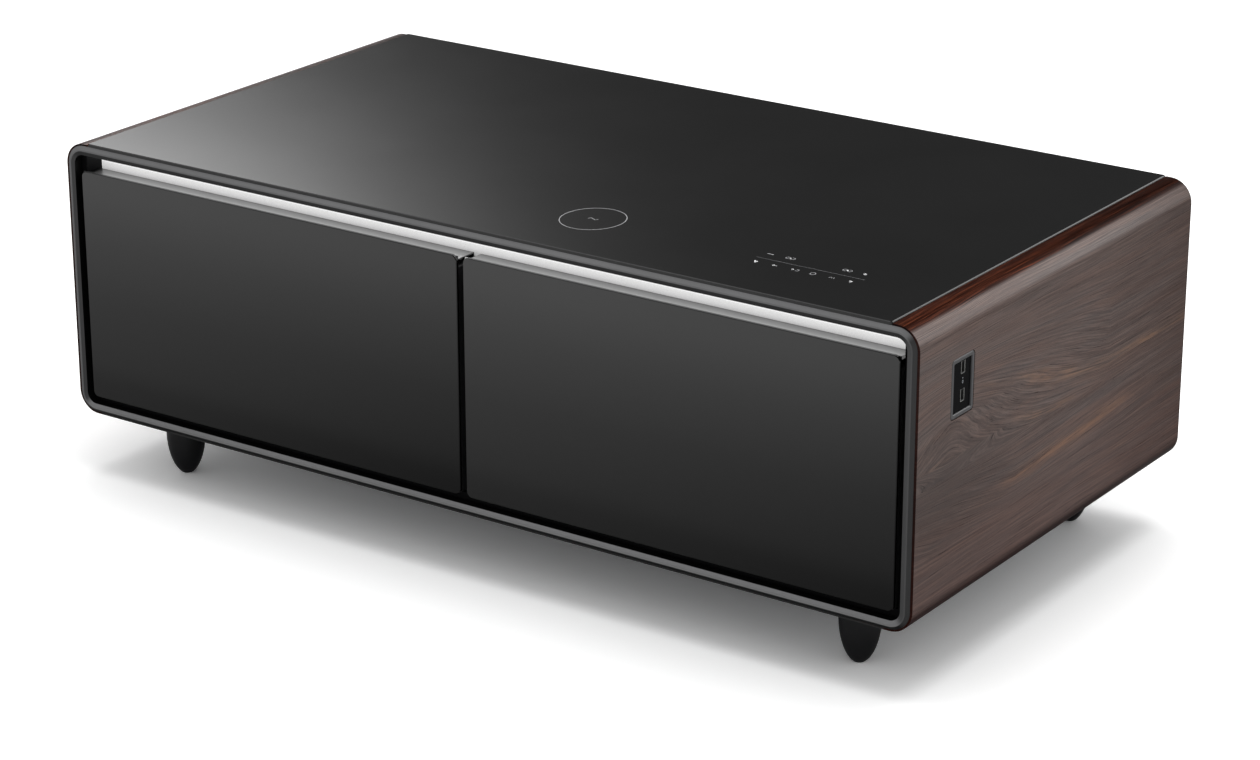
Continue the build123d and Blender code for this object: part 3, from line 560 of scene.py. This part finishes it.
pullShine = {
    "rear": -0.304, "front": -0.334,
    "stops": [(0.0, 0.1), (0.08, 0.2), (0.5, 0.27), (0.8, 0.38), (1.0, 0.46)],
    "lineTone": (0.86, 1.0), "underZ": 0.4240, "underShade": 0.03,
    "endX": 0.6185, "endY": -0.318, "endSlope": 0.35, "endBlend": 0.0015,
    "metallic": 0.8, "roughness": 0.32,
}


def pullAluminium():
    # Satin anodised rail with fine drawing lines along it; its colour is painted paler toward the glass and
    # darker toward the light strip, as painted light and shade
    material, tree, shader = newMaterial("pullAluminium")
    p = pullShine
    lines = brushedLines(tree, "x")
    xyz = axes(tree)
    tone = ramp(tree, remap(tree, xyz["Y"], p["rear"], p["front"]), p["stops"])
    tone = mixColor(tree, 1.0, tone, tint(tree, lines, *p["lineTone"]), "MULTIPLY")
    # Painted shade: the rail's underside, its end and its corner behind the round corner of the door glass
    # are painted dark
    forward = most(tree, minus(tree, p["endY"], xyz["Y"]), 0.0)
    end = plus(tree, minus(tree, calc(tree, "ABSOLUTE", xyz["X"]), p["endX"]),
               times(tree, forward, p["endSlope"]))
    under = most(tree, calc(tree, "LESS_THAN", xyz["Z"], p["underZ"]),
                 remap(tree, end, 0.0, p["endBlend"]))
    fill(tree, shader, {
        "Base Color": mixColor(tree, under, tone, p["underShade"]),
        "Roughness": swing(tree, noise(tree, objectPoint(tree), 12), p["roughness"] - 0.04,
                           p["roughness"] + 0.05),
        "Metallic": p["metallic"]})
    bump(tree, shader, lines, brushLines["depth"])
    return material


diffuserLight = {"color": (0.96, 0.98, 1.0, 1), "strength": 1.6}


def milkDiffuser():
    material, tree, shader = newMaterial("milkDiffuser")
    fill(tree, shader, {
        "Base Color": tint(tree, noise(tree, objectPoint(tree), 40), 0.8, 0.9),
        "Emission Color": diffuserLight["color"], "Emission Strength": diffuserLight["strength"]})
    return material


# Finishes inside the body

foam = {"dark": (0.62, 0.52, 0.3), "light": (0.74, 0.64, 0.4), "cellScale": 900, "cellDepth": 0.0004}


def rigidFoam():
    material, tree, shader = newMaterial("rigidFoam")
    point = objectPoint(tree)
    cells = put(tree, "ShaderNodeTexVoronoi", {"Vector": point, "Scale": foam["cellScale"]}).outputs
    fill(tree, shader, {
        "Base Color": tint(tree, noise(tree, point, 14, detail=4), foam["dark"], foam["light"]),
        "Roughness": 0.85})
    bump(tree, shader, cells["Distance"], foam["cellDepth"])
    return material


channels = {"closeness": 105.0, "edges": (0.55, 0.85), "height": 0.0015}


def coldPlate():
    # Bonded aluminium plate with raised channels across it
    material, tree, shader = newMaterial("coldPlate")
    wave = calc(tree, "SINE", times(tree, axes(tree)["Z"], channels["closeness"]))
    channel = remap(tree, calc(tree, "ABSOLUTE", wave), *channels["edges"])
    lines = noise(tree, objectPoint(tree, scale=(20, 900, 900)), 1)
    fill(tree, shader, {
        "Base Color": tint(tree, lines, 0.55, 0.72),
        "Roughness": remap(tree, channel, 0, 1, 0.42, 0.3), "Metallic": 0.95})
    bump(tree, shader, channel, channels["height"])
    return material


def circuitBoard():
    material, tree, shader = newMaterial("circuitBoard")
    point = objectPoint(tree)
    bricks = put(tree, "ShaderNodeTexBrick", {
        "Vector": point, "Scale": 160.0, "Mortar Size": 0.03, "Color1": (0.012, 0.11, 0.04, 1),
        "Color2": (0.014, 0.14, 0.055, 1), "Mortar": (0.05, 0.25, 0.09, 1)}).outputs
    fill(tree, shader, {
        "Base Color": bricks["Color"],
        "Roughness": swing(tree, noise(tree, point, 300), 0.25, 0.4)})
    bump(tree, shader, bricks["Fac"], 0.00003)
    return material


wire = {"closeness": 2400.0, "depth": 0.0004, "gapShade": (0.12, 0.04, 0.018), "crown": (0.62, 0.27, 0.12)}


def woundCopper():
    # Turns of wire round the coil's own middle, with painted shade in the grooves between the turns
    material, tree, shader = newMaterial("woundCopper")
    low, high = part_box("charging_coil")
    centre = (low + high) / 2
    xyz = axes(tree, objectPoint(tree, shift=(-centre.x, -centre.y, 0)))
    squares = plus(tree, calc(tree, "POWER", xyz["X"], 2.0), calc(tree, "POWER", xyz["Y"], 2.0))
    wave = calc(tree, "SINE", times(tree, calc(tree, "SQRT", squares), wire["closeness"]))
    turns = calc(tree, "ABSOLUTE", wave)
    fill(tree, shader, {
        "Base Color": ramp(tree, turns, [(0, wire["gapShade"]), (0.6, wire["crown"])]),
        "Roughness": remap(tree, turns, 0, 1, 0.5, 0.28), "Metallic": 0.9})
    bump(tree, shader, turns, wire["depth"])
    return material


def finStack():
    material, tree, shader = newMaterial("finStack")
    dust = noise(tree, objectPoint(tree), 60, detail=5)
    fill(tree, shader, {
        "Base Color": tint(tree, dust, 0.5, 0.66), "Roughness": swing(tree, dust, 0.3, 0.5),
        "Metallic": 0.9})
    bump(tree, shader, noise(tree, objectPoint(tree, scale=(1, 40, 1)), 300), 0.00003)
    return material


tongueHalf = 0.00105


def socketShell():
    # Nickel shell round a black contact tongue
    material, tree, shader = newMaterial("socketShell")
    low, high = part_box("port_sockets")
    away = calc(tree, "ABSOLUTE", minus(tree, axes(tree)["Y"], (low.y + high.y) / 2))
    tongue = calc(tree, "LESS_THAN", away, tongueHalf)
    metal = tint(tree, noise(tree, objectPoint(tree), 500), 0.1, (0.14, 0.14, 0.138))
    fill(tree, shader, {
        "Base Color": mixColor(tree, tongue, metal, (0.012, 0.012, 0.013)),
        "Roughness": 0.34, "Metallic": remap(tree, tongue, 0, 1, 0.9, 0.0)})
    return material


finishes = {}
for maker, table in ((mouldedPlastic, plastics), (satinPaint, paints), (brushedMetal, metals),
                     (softRubber, rubbers), (galvanisedSheet, sheets), (blackGlass, panes)):
    for name, values in table.items():
        finishes[name] = maker(name, **values)
for maker in (walnutFoil, framePaint, lightStrip, pullAluminium, milkDiffuser, rigidFoam, coldPlate,
              circuitBoard, woundCopper, finStack, socketShell):
    material = maker()
    finishes[material.name] = material

# Which nodes wear each finish. A star stands for left and right
wearers = {
    "walnutFoil": ["side_shell_*"],
    "topGlass": ["glass_top"],
    "doorGlass": ["door_glass_*"],
    "framePaint": ["front_frame"],
    "surroundPlastic": ["front_surround"],
    "footLacquer": ["foot_front_*", "foot_rear_*"],
    "zincSheet": ["top_deck"],
    "basePlateSheet": ["base_plate"],
    "rearPaint": ["rear_panel"],
    "screwSteel": ["panel_screws", "foot_bolts"],
    "rigidFoam": [f"insulation_{side}" for side in ("top", "base", "centre", "rear", "*")],
    "linerPlastic": ["liner_*"],
    "coldPlate": ["cold_plate_*"],
    "lightStrip": ["light_bar"],
    "milkDiffuser": ["light_diffuser"],
    "circuitBoard": ["touch_board"],
    "woundCopper": ["charging_coil"],
    "bezelMetal": ["port_bezel"],
    "housingPlastic": ["port_housing"],
    "socketShell": ["port_sockets"],
    "compressorEnamel": ["compressor"],
    "mountRubber": ["compressor_mounts"],
    "finStack": ["condenser"],
    "fanPlastic": ["fan_shroud", "fan_impeller"],
    "controlPlastic": ["control_box"],
    "inletPlastic": ["power_inlet"],
    "doorCore": ["door_panel_*"],
    "pullAluminium": ["pull_*"],
    "sealRubber": ["seal_*"],
    "binPlastic": ["bin_*"],
    "slideZinc": [f"slide_{member}_*_{place}" for member in ("outer", "middle", "inner")
                  for place in ("inboard", "outboard")],
}
for finish, wearing in wearers.items():
    for wearer in wearing:
        for hand in ("left", "right") if "*" in wearer else ("",):
            mesh = nodes[wearer.replace("*", hand)].data
            mesh.materials.clear()
            mesh.materials.append(finishes[finish])
print("finishes made:", len(finishes))


# Geometry Nodes helpers

socketKinds = {float: "NodeSocketFloat", int: "NodeSocketInt", tuple: "NodeSocketVector",
               bpy.types.Material: "NodeSocketMaterial"}


def nodeTree(name, sizes):
    # Every entry of sizes becomes a named input of the tree
    tree = bpy.data.node_groups.new(name, "GeometryNodeTree")
    tree.interface.new_socket("Geometry", in_out="OUTPUT", socket_type="NodeSocketGeometry")
    tree.interface.new_socket("Lines", in_out="INPUT", socket_type="NodeSocketGeometry")
    for label, value in sizes.items():
        tree.interface.new_socket(label, in_out="INPUT", socket_type=socketKinds[type(value)])
    return tree, tree.nodes.new("NodeGroupInput").outputs


def closeTree(tree, geometry, material, smooth=True):
    whole = make(tree, "GeometryNodeRealizeInstances", {"Geometry": geometry})
    shaded = make(tree, "GeometryNodeSetShadeSmooth", {"Geometry": whole, "Shade Smooth": smooth})
    painted = make(tree, "GeometryNodeSetMaterial", {"Geometry": shaded, "Material": material})
    tree.links.new(painted, tree.nodes.new("NodeGroupOutput").inputs[0])


def bakeNodes(name, tree, sizes, body, lines=None):
    # The tree's result is kept as a plain mesh, with its place in the mesh
    piece = bpy.data.objects.new(name, lines or bpy.data.meshes.new(name))
    bpy.context.scene.collection.objects.link(piece)
    modifier = piece.modifiers.new(name, "NODES")
    modifier.node_group = tree
    for socket in tree.interface.items_tree:
        if socket.in_out == "INPUT" and socket.name in sizes:
            modifier[socket.identifier] = sizes[socket.name]
    evaluated = piece.evaluated_get(bpy.context.evaluated_depsgraph_get())
    plain = bpy.data.meshes.new_from_object(evaluated)
    piece.modifiers.remove(modifier)
    piece.data = plain
    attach(piece, body)
    return piece


def spacedLine(tree, start, end, count):
    # The line's points, and the share of its length at each of them
    line = make(tree, "GeometryNodeCurvePrimitiveLine", {"Start": start, "End": end})
    line = make(tree, "GeometryNodeResampleCurve", {"Curve": line, "Count": count})
    return line, put(tree, "GeometryNodeSplineParameter").outputs["Factor"]


def sweep(tree, line, profile, scale=1.0):
    return make(tree, "GeometryNodeCurveToMesh",
               {"Curve": line, "Profile Curve": profile, "Scale": scale, "Fill Caps": True})


def circleOf(tree, turns):
    return make(tree, "GeometryNodeCurvePrimitiveCircle", {"Resolution": turns, "Radius": 1.0})


def gridOf(tree, sizeX, sizeY, countX, countY):
    return make(tree, "GeometryNodeMeshGrid", {
        "Size X": sizeX, "Size Y": sizeY, "Vertices X": countX, "Vertices Y": countY})


def placed(tree, points, piece, shift, turn=(0, 0, 0)):
    # One copy of the piece at every point, and the whole moved and turned
    copies = make(tree, "GeometryNodeInstanceOnPoints", {"Points": points, "Instance": piece})
    return make(tree, "GeometryNodeTransform", {
        "Geometry": copies, "Translation": shift, "Rotation": turn})


# Bullet feet

bulletFeet = {
    "Foot Radius": 0.0265,
    "Foot Height": 0.09,
    "Bulb Height": 0.06,
    "Bulb Reach": 0.0625,
    "Side Place": 0.534,
    "Front Place": -0.2605,
    "Rear Place": 0.2725,
    "Steps": 40,
    "Step Closeness": 1.7,
    "Turns": 64,
    "Material": finishes["footLacquer"],
}


def makeFeet():
    tree, given = nodeTree("bulletFeet", bulletFeet)
    line, share = spacedLine(tree, (0, 0, 0), (0, 0, 1), given["Steps"])
    rise = times(tree, calc(tree, "POWER", share, given["Step Closeness"]), given["Foot Height"])
    line = make(tree, "GeometryNodeSetPosition",
               {"Geometry": line, "Position": vectorOf(tree, z=rise)})
    # An ellipse up to the widest place, and straight above it
    height = axes(tree, make(tree, "GeometryNodeInputPosition"))["Z"]
    under = most(tree, minus(tree, given["Bulb Height"], height), 0.0)
    under = calc(tree, "DIVIDE", under, given["Bulb Reach"])
    width = calc(tree, "SQRT", minus(tree, 1.0, times(tree, under, under)))
    width = times(tree, width, given["Foot Radius"])
    foot = sweep(tree, line, circleOf(tree, given["Turns"]), width)
    grid = gridOf(tree, times(tree, given["Side Place"], 2.0),
                  minus(tree, given["Rear Place"], given["Front Place"]), 2, 2)
    middleY = times(tree, plus(tree, given["Rear Place"], given["Front Place"]), 0.5)
    closeTree(tree, placed(tree, grid, foot, vectorOf(tree, y=middleY)), given["Material"])
    piece = bakeNodes("bulletFeet", tree, bulletFeet, "cabinet")
    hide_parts("foot_front_left", "foot_front_right", "foot_rear_left", "foot_rear_right")


# Rear panel screws: pan heads with a cross recess

panHeads = {
    "Head Radius": 0.004,
    "Head Height": 0.0024,
    "Head Steps": 8,
    "Head Turns": 28,
    "Dome Power": 2.5,
    "Dome Fall": 0.7,
    "Recess Length": 0.0046,
    "Recess Width": 0.0009,
    "Recess Depth": 0.0013,
    "Shank Radius": 0.002,
    "Shank Length": 0.009,
    "Shank Entry": 0.3,
    "Column Count": 5,
    "Row Count": 2,
    "Material": finishes["screwSteel"],
}


def makePanelScrews():
    low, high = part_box("panel_screws")
    sizes = dict(panHeads)
    radius = sizes["Head Radius"]
    sizes["Row Length"] = high.x - low.x - 2 * radius
    sizes["Row Spacing"] = high.z - low.z - 2 * radius
    sizes["Panel Place"] = (0.0, low.y + sizes["Shank Length"], (low.z + high.z) / 2)
    tree, given = nodeTree("panHeads", sizes)
    top = vectorOf(tree, z=given["Head Height"])
    line, share = spacedLine(tree, (0, 0, 0), top, given["Head Steps"])
    fall = times(tree, calc(tree, "POWER", share, given["Dome Power"]), given["Dome Fall"])
    dome = times(tree, calc(tree, "SQRT", minus(tree, 1.0, fall)), given["Head Radius"])
    circle = circleOf(tree, given["Head Turns"])
    head = sweep(tree, line, circle, dome)
    depth = times(tree, given["Recess Depth"], 2.0)
    cut = put(tree, "GeometryNodeMeshBoolean", {"Mesh 1": head}, operation="DIFFERENCE")
    for size in (vectorOf(tree, given["Recess Length"], given["Recess Width"], depth),
                 vectorOf(tree, given["Recess Width"], given["Recess Length"], depth)):
        bar = make(tree, "GeometryNodeMeshCube", {"Size": size})
        bar = make(tree, "GeometryNodeTransform", {"Geometry": bar, "Translation": top})
        tree.links.new(bar, cut.inputs["Mesh 2"])
    shankLine = make(tree, "GeometryNodeCurvePrimitiveLine", {
        "Start": vectorOf(tree, z=times(tree, given["Shank Length"], -1.0)),
        "End": vectorOf(tree, z=times(tree, given["Head Height"], given["Shank Entry"]))})
    screw = tree.nodes.new("GeometryNodeJoinGeometry")
    tree.links.new(cut.outputs["Mesh"], screw.inputs[0])
    tree.links.new(sweep(tree, shankLine, circle, given["Shank Radius"]), screw.inputs[0])
    # The grid lies flat, so it is stood up with the heads toward the back
    grid = gridOf(tree, given["Row Length"], given["Row Spacing"],
                  given["Column Count"], given["Row Count"])
    screws = placed(tree, grid, screw.outputs[0], given["Panel Place"], (-math.pi / 2, 0, 0))
    closeTree(tree, screws, given["Material"], smooth=False)
    piece = bakeNodes("panelScrewHeads", tree, sizes, "cabinet")
    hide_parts("panel_screws")


# Ribs moulded on each bin's floor

binRibs = {
    "Rib Radius": 0.0016,
    "Rib Length": 0.36,
    "Rib Steps": 48,
    "Rib Turns": 16,
    "Rib Count": 11,
    "Rib Spacing": 0.044,
    "Taper": 0.03,
    "End Share": 0.15,
    "Material": finishes["binPlastic"],
}
binWall = 0.0025


def makeBinRibs(hand):
    low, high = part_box(f"bin_{hand}")
    sizes = dict(binRibs)
    sizes["Floor Place"] = ((low.x + high.x) / 2, (low.y + high.y) / 2, low.z + binWall)
    tree, given = nodeTree(f"binRibs_{hand}", sizes)
    half = times(tree, given["Rib Length"], 0.5)
    line, share = spacedLine(tree, vectorOf(tree, y=times(tree, half, -1.0)), vectorOf(tree, y=half),
                             given["Rib Steps"])
    away = calc(tree, "ABSOLUTE", minus(tree, times(tree, share, 2.0), 1.0))
    ending = calc(tree, "SQRT", calc(tree, "DIVIDE", minus(tree, 1.0, away), given["Taper"]))
    ending = most(tree, calc(tree, "MINIMUM", ending, 1.0), given["End Share"])
    rib = sweep(tree, line, circleOf(tree, given["Rib Turns"]), times(tree, ending, given["Rib Radius"]))
    start = times(tree, minus(tree, given["Rib Count"], 1.0), given["Rib Spacing"], -0.5)
    row = make(tree, "GeometryNodeMeshLine", {
        "Count": given["Rib Count"], "Start Location": vectorOf(tree, x=start),
        "Offset": vectorOf(tree, x=given["Rib Spacing"])})
    closeTree(tree, placed(tree, row, rib, given["Floor Place"]), given["Material"])
    bakeNodes(f"binRibs_{hand}", tree, sizes, f"drawer_{hand}")


# Printed marks on the glass top. Places and points are in millimetres

def circlePath(x, y, radius, count=24, squash=1.0):
    turns = [2 * math.pi * index / count for index in range(count)]
    return [(x + radius * math.cos(turn), y + radius * squash * math.sin(turn)) for turn in turns], True


def path(*points, at=(0, 0)):
    return [(at[0] + x, at[1] + y) for x, y in points], False


lineFront, highFront, lowFront = -231.4, -213.4, -246.5
ringPlace = (117.5, -222.3)
link = [(-1.2, 2.8), (-5.0, 2.8), (-6.2, 0), (-5.0, -2.8), (-1.2, -2.8)]
linkOther = [(-x, y) for x, y in link]
printHeight = 0.00003

glassMarks = {
    "Ring": {"width": 0.0009, "ink": "printInk", "paths": [circlePath(*ringPlace, 40.3, 96, 1.1)]},
    "Fine": {"width": 0.0008, "ink": "printInk", "paths": [
        *[path(*half, at=(x, highFront)) for x in (398, 477.1) for half in (link, linkOther)],
        circlePath(449.7, lowFront, 3.3, squash=1.2),
        path((1.6, 2.6), (4.6, 2.6), (5.4, 0), (4.6, -2.6), (1.6, -2.6), at=(424.6, lowFront)),
        path((-3.2, -2.0), (-1.6, 2.2), (0.4, -1.4), (2.2, 2.2), (3.4, -2.0), at=(475.8, lowFront)),
        path((-6.2, -2.2), (-4.6, 2.6), (-2.4, 1.2), (0, 0), (2.4, -1.2), (4.6, -2.6), (6.2, 2.2),
             at=ringPlace),
    ]},
    "Bold": {"width": 0.0021, "ink": "boldInk", "paths": [
        path((-0.7, 0.6), (0.7, -0.6), at=(398, highFront)),
        path((-0.9, 1.2), (0.9, -1.2), at=(477.1, highFront)),
        path((-1.4, 2.4), (1.4, -2.4), at=(501.2, highFront)),
        path((-2.0, -0.6), (2.0, 0.6), at=(501.2, highFront)),
        path((-2.2, 3.0), (0.2, -0.4), (1.6, -3.2), at=(369.6, lowFront)),
        path((0.2, -0.4), (2.8, 1.4), at=(369.6, lowFront)),
        path((-2.8, 0.4), (0.4, -0.4), at=(396.4, lowFront)),
        path((-1.4, 2.0), (-1.0, -2.2), at=(396.4, lowFront)),
        path((-3.2, 1.6), (-1.2, -1.8), at=(423.6, lowFront)),
        path((-3.0, -1.0), (-0.6, 0.6), at=(423.6, lowFront)),
        path((-2.6, 2.2), (1.8, 1.4), at=(501.0, lowFront)),
    ]},
    "Dash": {"width": 0.0014, "ink": "printInk", "paths": [
        path((-4.4, 0), (4.4, 0), at=(369.9, highFront)),
        path((1.8, 1.4), (0.4, -2.8), at=(501.0, lowFront)),
        path((1.2, 0), (3.8, -0.4), at=(396.4, lowFront)),
    ]},
    "Line": {"width": 0.0008, "ink": "faintInk", "paths": [path((361.5, lineFront), (511.8, lineFront))]},
}


def lineMesh(name, paths, place):
    # Paths are lists of points in millimetres, place turns each into metres on the object
    points = []
    edges = []
    for corners, closed in paths:
        first = len(points)
        points += [place(*corner) for corner in corners]
        last = len(points) - 1
        edges += [(index, index + 1) for index in range(first, last)]
        if closed:
            edges.append((last, first))
    mesh = bpy.data.meshes.new(name)
    mesh.from_pydata(points, edges, [])
    return mesh


def makeStrokes(name, paths, place, facing, width, height, ink):
    sizes = {"Stroke Width": width, "Stroke Height": height, "Facing": facing, "Material": finishes[ink]}
    tree, given = nodeTree(name, sizes)
    curves = make(tree, "GeometryNodeMeshToCurve", {"Mesh": given["Lines"]})
    curves = make(tree, "GeometryNodeSetCurveNormal",
                 {"Curve": curves, "Normal": given["Facing"]}, mode="FREE")
    box = make(tree, "GeometryNodeCurvePrimitiveQuadrilateral",
              {"Width": given["Stroke Height"], "Height": given["Stroke Width"]})
    closeTree(tree, sweep(tree, curves, box), given["Material"], smooth=False)
    bakeNodes(name, tree, sizes, "cabinet", lineMesh(name, paths, place))


def makeGlassMarks():
    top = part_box("glass_top")[1].z

    def onGlass(x, y):
        return (x / 1000, y / 1000, top + printHeight / 2)

    for name, mark in glassMarks.items():
        makeStrokes(f"glassMarks{name}", mark["paths"], onGlass, (0.0, 0.0, 1.0), mark["width"],
                    printHeight, mark["ink"])


# Lips of the two sockets and the lamp between them. Places and points are in millimetres

portFace = {
    "lipMargin": 0.5,
    "lipWidth": 0.0008,
    "lipHeight": 0.0004,
    "socketHalf": 7.0,
    "socketOffsets": (-12.6, 21.8),
    "lampPlace": (-235.7, 374.0),
    "lampStroke": 0.0013,
    "lampHeight": 0.0005,
    "tickPlace": (-235.7, 378.6),
}


def makePortDetails():
    p = portFace
    low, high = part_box("port_sockets")
    housingLow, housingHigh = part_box("port_housing")
    centre = (housingLow.z + housingHigh.z) * 500
    width = (high.y - low.y) * 500 + p["lipMargin"]
    middle = (high.y + low.y) * 500
    length = p["socketHalf"] + p["lipMargin"]

    def onFace(y, z):
        return (housingHigh.x + p["lipHeight"] / 2, y / 1000, z / 1000)

    corners = [(-width, length), (-width, -length), (width, -length), (width, length)]
    lips = [path(*corners, at=(middle, centre + offset)) for offset in p["socketOffsets"]]
    lamp = [path((-1.1, 0), (1.1, 0), at=p["lampPlace"]), path((0, -1.8), (0, 1.8), at=p["lampPlace"]),
            path((-0.5, 0), (0.5, 0), at=p["tickPlace"])]
    side = (1.0, 0.0, 0.0)
    makeStrokes("socketLips", lips, onFace, side, p["lipWidth"], p["lipHeight"], "lipMetal")
    makeStrokes("portLamp", lamp, onFace, side, p["lampStroke"], p["lampHeight"], "lampLens")


makeFeet()
makePanelScrews()
makeBinRibs("left")
makeBinRibs("right")
makeGlassMarks()
makePortDetails()
print("small pieces made")


# Studio

studio = {
    "ambient": 0.77,
    "skyDark": 0.03,
    "horizon": (0.05, 0.2),
    "softboxes": [
        {"aim": (-0.6629, 0.6357, 0.3955), "spread": 5.1, "strength": 11.0},
        {"aim": (-0.5427, -0.4777, 0.6911), "spread": 17.0, "strength": 2.0},
    ],
    "panel": {"x": (-0.1, 0.3), "y": (0.35, 0.6), "z": (0.0, 0.06), "strength": 2.8},
}


def makeWorld():
    world = bpy.data.worlds.new("studioWorld")
    world.use_nodes = True
    tree = world.node_tree
    rays = put(tree, "ShaderNodeLightPath").outputs
    direction = put(tree, "ShaderNodeTexCoord").outputs["Generated"]
    xyz = axes(tree, direction)
    # Reflections see a white horizon, a dark upper room, two softboxes and a panel at the right rear
    room = plus(tree, remap(tree, xyz["Z"], *studio["horizon"], 1.0, 0.0), studio["skyDark"])
    for box in studio["softboxes"]:
        dot = put(tree, "ShaderNodeVectorMath", {0: direction, 1: box["aim"]},
                  operation="DOT_PRODUCT").outputs["Value"]
        angle = calc(tree, "ARCCOSINE", calc(tree, "MINIMUM", dot, 1.0))
        ratio = calc(tree, "DIVIDE", angle, math.radians(box["spread"]))
        room = plus(tree, room, times(tree, bell(tree, times(tree, ratio, ratio)), box["strength"]))
    panel = studio["panel"]
    shine = times(tree, remap(tree, xyz["X"], *panel["x"], smooth=True),
                  remap(tree, xyz["Y"], *panel["y"], smooth=True),
                  remap(tree, xyz["Z"], *panel["z"]))
    room = plus(tree, room, times(tree, shine, panel["strength"]))
    mirrored = calc(tree, "ADD", rays["Is Glossy Ray"], rays["Is Transmission Ray"], clamp=True)
    level = plus(tree, times(tree, mirrored, room),
                 times(tree, minus(tree, 1.0, mirrored), studio["ambient"]))
    seen = rays["Is Camera Ray"]
    level = plus(tree, times(tree, level, minus(tree, 1.0, seen)), seen)
    fill(tree, tree.nodes["Background"], {"Strength": level, "Color": (1, 1, 1, 1)})
    bpy.context.scene.world = world


studioFloor = {
    "size": 30.0,
    "white": 0.8,
    "seenWhite": 1.3,
    "glossWhite": 2.0,
    "tableHalf": (0.65, 0.3425),
    "frontShadeFade": [(0.0, 0.078), (0.264, 0.109), (0.33, 0.1625), (0.528, 0.23), (0.748, 0.364),
                  (0.935, 0.52), (1.0, 0.55)],
    "sideShadeFade": [(0.0, 0.12), (0.2, 0.15), (0.44, 0.2), (0.566, 0.3), (0.68, 0.4), (1.0, 0.42)],
    "rearShadeFade": (0.3, 1.25, 1.1, 0.45),
    "frontEdge": (-0.45, -0.3),
}


def makeFloor():
    f = studioFloor
    half = f["size"] / 2
    corners = [(-half, -half, 0), (half, -half, 0), (half, half, 0), (-half, half, 0)]
    mesh = bpy.data.meshes.new("studioFloor")
    mesh.from_pydata(corners, [], [(0, 1, 2, 3)])
    floor = bpy.data.objects.new("studioFloor", mesh)
    bpy.context.scene.collection.objects.link(floor)
    material, tree, shader = newMaterial("studioFloor")
    tree.nodes.remove(shader)
    rays = put(tree, "ShaderNodeLightPath").outputs
    gloss = rays["Is Glossy Ray"]
    seen = plus(tree, gloss, rays["Is Transmission Ray"])
    seen = calc(tree, "ADD", rays["Is Camera Ray"], seen, clamp=True)
    # Paler where the camera or a gloss sees it, and darker in a reflection close to the table and toward
    # the rear: a painted shadow round the table that only reflections see
    xyz = axes(tree)
    beside = minus(tree, calc(tree, "ABSOLUTE", xyz["X"]), f["tableHalf"][0])
    before = minus(tree, calc(tree, "ABSOLUTE", xyz["Y"]), f["tableHalf"][1])
    sideShadeFade = times(tree, ramp(tree, beside, f["sideShadeFade"]), remap(tree, xyz["Y"], *f["rearShadeFade"]))
    front = remap(tree, xyz["Y"], *f["frontEdge"], 1.0, 0.0)
    reflectedShade = plus(tree, times(tree, ramp(tree, before, f["frontShadeFade"]), front),
                times(tree, sideShadeFade, minus(tree, 1.0, front)))
    white = plus(tree, f["white"], times(tree, seen, f["seenWhite"] - f["white"]))
    white = plus(tree, times(tree, white, minus(tree, 1.0, gloss)),
                 times(tree, reflectedShade, gloss, f["glossWhite"]))
    diffuse = put(tree, "ShaderNodeBsdfDiffuse", {"Color": greyOf(tree, white)})
    fill(tree, tree.nodes["Material Output"], {"Surface": diffuse.outputs[0]})
    mesh.materials.append(material)


overheadLamp = {"place": (0.1, 0.15, 2.6), "aim": (0, 0, 0.25), "size": 2.8, "power": 50}


def makeLamp():
    data = bpy.data.lights.new("overhead", "AREA")
    data.shape = "DISK"
    data.size = overheadLamp["size"]
    data.energy = overheadLamp["power"]
    light = bpy.data.objects.new("overhead", data)
    bpy.context.scene.collection.objects.link(light)
    light.location = overheadLamp["place"]
    aim = Vector(overheadLamp["aim"]) - light.location
    light.rotation_euler = aim.to_track_quat("-Z", "Y").to_euler()
    light.visible_glossy = False
    light.visible_camera = False


photoCamera = {
    "place": (2.50921, -3.59583, 1.80406),
    "pitch": 0.35763,
    "yaw": 0.60580,
    "lens": 101.13,
    "sensor": 36.0,
    "clip": (0.05, 100),
}


def makeCamera():
    data = bpy.data.cameras.new("photoCamera")
    data.lens = photoCamera["lens"]
    data.sensor_width = photoCamera["sensor"]
    data.clip_start, data.clip_end = photoCamera["clip"]
    camera = bpy.data.objects.new("photoCamera", data)
    bpy.context.scene.collection.objects.link(camera)
    camera.location = photoCamera["place"]
    camera.rotation_euler = (math.pi / 2 - photoCamera["pitch"], 0, photoCamera["yaw"])
    bpy.context.scene.camera = camera


makeCamera()
makeWorld()
makeFloor()
makeLamp()
bpy.context.scene.view_settings.view_transform = "Standard"
print("studio made")
